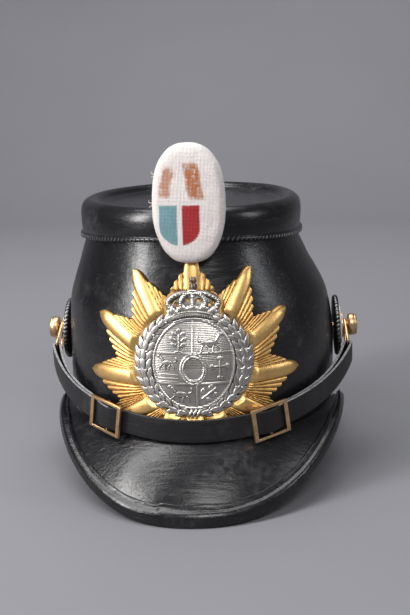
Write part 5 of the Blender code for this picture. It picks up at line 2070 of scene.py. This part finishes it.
@dataclass
class Studio:
    """The pale floor, the soft lights and the camera."""

    camera_place: Triple = (0.0411, -0.6396, 0.235)
    yaw: float = math.radians(3.5)
    pitch: float = math.radians(12.6)
    roll: float = math.radians(-1.4)
    lens: float = 57.95
    world_colour: Colour = (0.60, 0.61, 0.64)
    world_strength: float = 0.27
    floor_colour: Colour = (0.165, 0.165, 0.181)
    # The wall's paler colour is painted light on the backdrop.
    wall_painted_light_colour: Colour = (0.43, 0.43, 0.465)
    floor_half: float = 9.0
    sweep_start: float = 1.1
    sweep_radius: float = 0.9
    wall_rise: float = 3.0
    lights: tuple[tuple[str, Triple, Triple, Pair, float, Colour], ...] = (
        ("key softbox", (-0.98, -0.61, 0.62), (0.0, -0.03, 0.09), (0.30, 0.72), 16.0, (1.0, 0.985, 0.97)),
        ("fill softbox", (1.14, -0.24, 0.64), (0.0, 0.0, 0.09), (0.26, 0.50), 2.6, (0.97, 0.985, 1.0)),
        ("top softbox", (-0.10, 0.25, 1.35), (0.0, 0.0, 0.1), (1.0, 0.7), 14.0, (1.0, 1.0, 1.0)),
        ("front softbox", (0.25, -1.35, 1.25), (0.0, 0.0, 0.08), (0.8, 0.5), 14.0, (1.0, 0.99, 0.98)),
        ("peak softbox", (-0.62, -0.28, 1.08), (-0.03, -0.11, 0.02), (0.20, 0.55), 5.5, (1.0, 1.0, 1.0)),
    )

    def build(self) -> None:
        """Builds everything around the hat."""
        self.floor()
        self.camera()
        for row in self.lights:
            self.light(*row)
        scene = bpy.context.scene
        scene.world = scene.world or bpy.data.worlds.new("studio")
        scene.world.use_nodes = True
        background = scene.world.node_tree.nodes["Background"]
        background.inputs["Color"].default_value = (*self.world_colour, 1.0)
        background.inputs["Strength"].default_value = self.world_strength
        scene.view_settings.view_transform = "Standard"
        scene.view_settings.look = "None"
        scene.view_settings.exposure = 0.0

    def floor(self) -> None:
        """A pale floor that curves up behind the hat."""
        half, radius = self.floor_half, self.sweep_radius
        flat_rows, curve_rows, rows = 10, 20, 40

        def shape(share: float, row: int) -> Vector:
            """A point of the floor."""
            x = (share * 2 - 1) * half
            if row < flat_rows:
                return Vector((x, -half + (half + self.sweep_start) * row / flat_rows, 0.0))
            if row <= flat_rows + curve_rows:
                turn = QUARTER * (row - flat_rows) / curve_rows
                return Vector((x, self.sweep_start + radius * math.sin(turn), radius * (1 - math.cos(turn))))
            up = radius + self.wall_rise * (row - flat_rows - curve_rows) / flat_rows
            return Vector((x, self.sweep_start + radius, up))

        bm = BENCH.grid(24, shape, rows)
        board = Board("studio floor")
        cloud = board.noise(board.coords(), 2.0, 4.0, 0.5)
        # The sweep pales towards the wall colour further back: painted light on the backdrop, where the lamps
        # light it less.
        back = board.span(board.axis("Y"), 0.2, 1.9)
        shade = board.mix(back, self.floor_colour, self.wall_painted_light_colour)
        darker = tuple(value * 0.9 for value in self.floor_colour)
        board.set(Base_Color=board.mix(board.math("MULTIPLY", cloud, 0.3), shade, darker), Roughness=0.85)
        mesh = bpy.data.meshes.new("studio_floor")
        bmesh.ops.recalc_face_normals(bm, faces=bm.faces)
        bm.to_mesh(mesh)
        bm.free()
        mesh.shade_smooth()
        mesh.materials.append(board.material)
        obj = bpy.data.objects.new("studio_floor", mesh)
        bpy.context.scene.collection.objects.link(obj)

    def camera(self) -> None:
        """The camera, as the photograph's view gives it."""
        level = math.cos(self.pitch)
        forward = Vector((-math.sin(self.yaw) * level, math.cos(self.yaw) * level, -math.sin(self.pitch)))
        right = forward.cross(Vector((0, 0, 1))).normalized()
        up = right.cross(forward)
        c, s = math.cos(self.roll), math.sin(self.roll)
        right, up = c * right + s * up, c * up - s * right
        data = bpy.data.cameras.new("photo camera")
        data.lens = self.lens
        data.sensor_width = 36.0
        data.sensor_fit = "AUTO"
        camera = bpy.data.objects.new("photo camera", data)
        matrix = Matrix((right, up, -forward)).transposed().to_4x4()
        matrix.translation = Vector(self.camera_place) + SHIFT
        camera.matrix_world = matrix
        bpy.context.scene.collection.objects.link(camera)
        bpy.context.scene.camera = camera

    def light(self, name: str, place: Triple, aim: Triple, size: Pair, power: float, colour: Colour) -> None:
        """A soft rectangular light.

        Args:
            name: the light's name.
            place: where it stands.
            aim: the point that it faces.
            size: its width and height.
            power: its power in watts.
            colour: its colour.
        """
        data = bpy.data.lights.new(name, "AREA")
        data.shape = "RECTANGLE"
        data.size, data.size_y = size
        data.energy = power
        data.color = colour
        lamp = bpy.data.objects.new(name, data)
        lamp.location = place
        lamp.rotation_euler = (Vector(aim) - Vector(place)).to_track_quat("-Z", "Y").to_euler()
        bpy.context.scene.collection.objects.link(lamp)


def main() -> None:
    """Builds and dresses the hat."""
    Studio().build()
    finishes = Finishes()
    for assembly in (Crown, Peaks, StarPlate, Emblem, FieldBadge, ChinStrap, SideFittings):
        assembly(finishes).build()
    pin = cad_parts["badge_pin"]
    pin.data.materials.clear()
    pin.data.materials.append(finishes.brass)


if __name__ == "__main__":
    main()
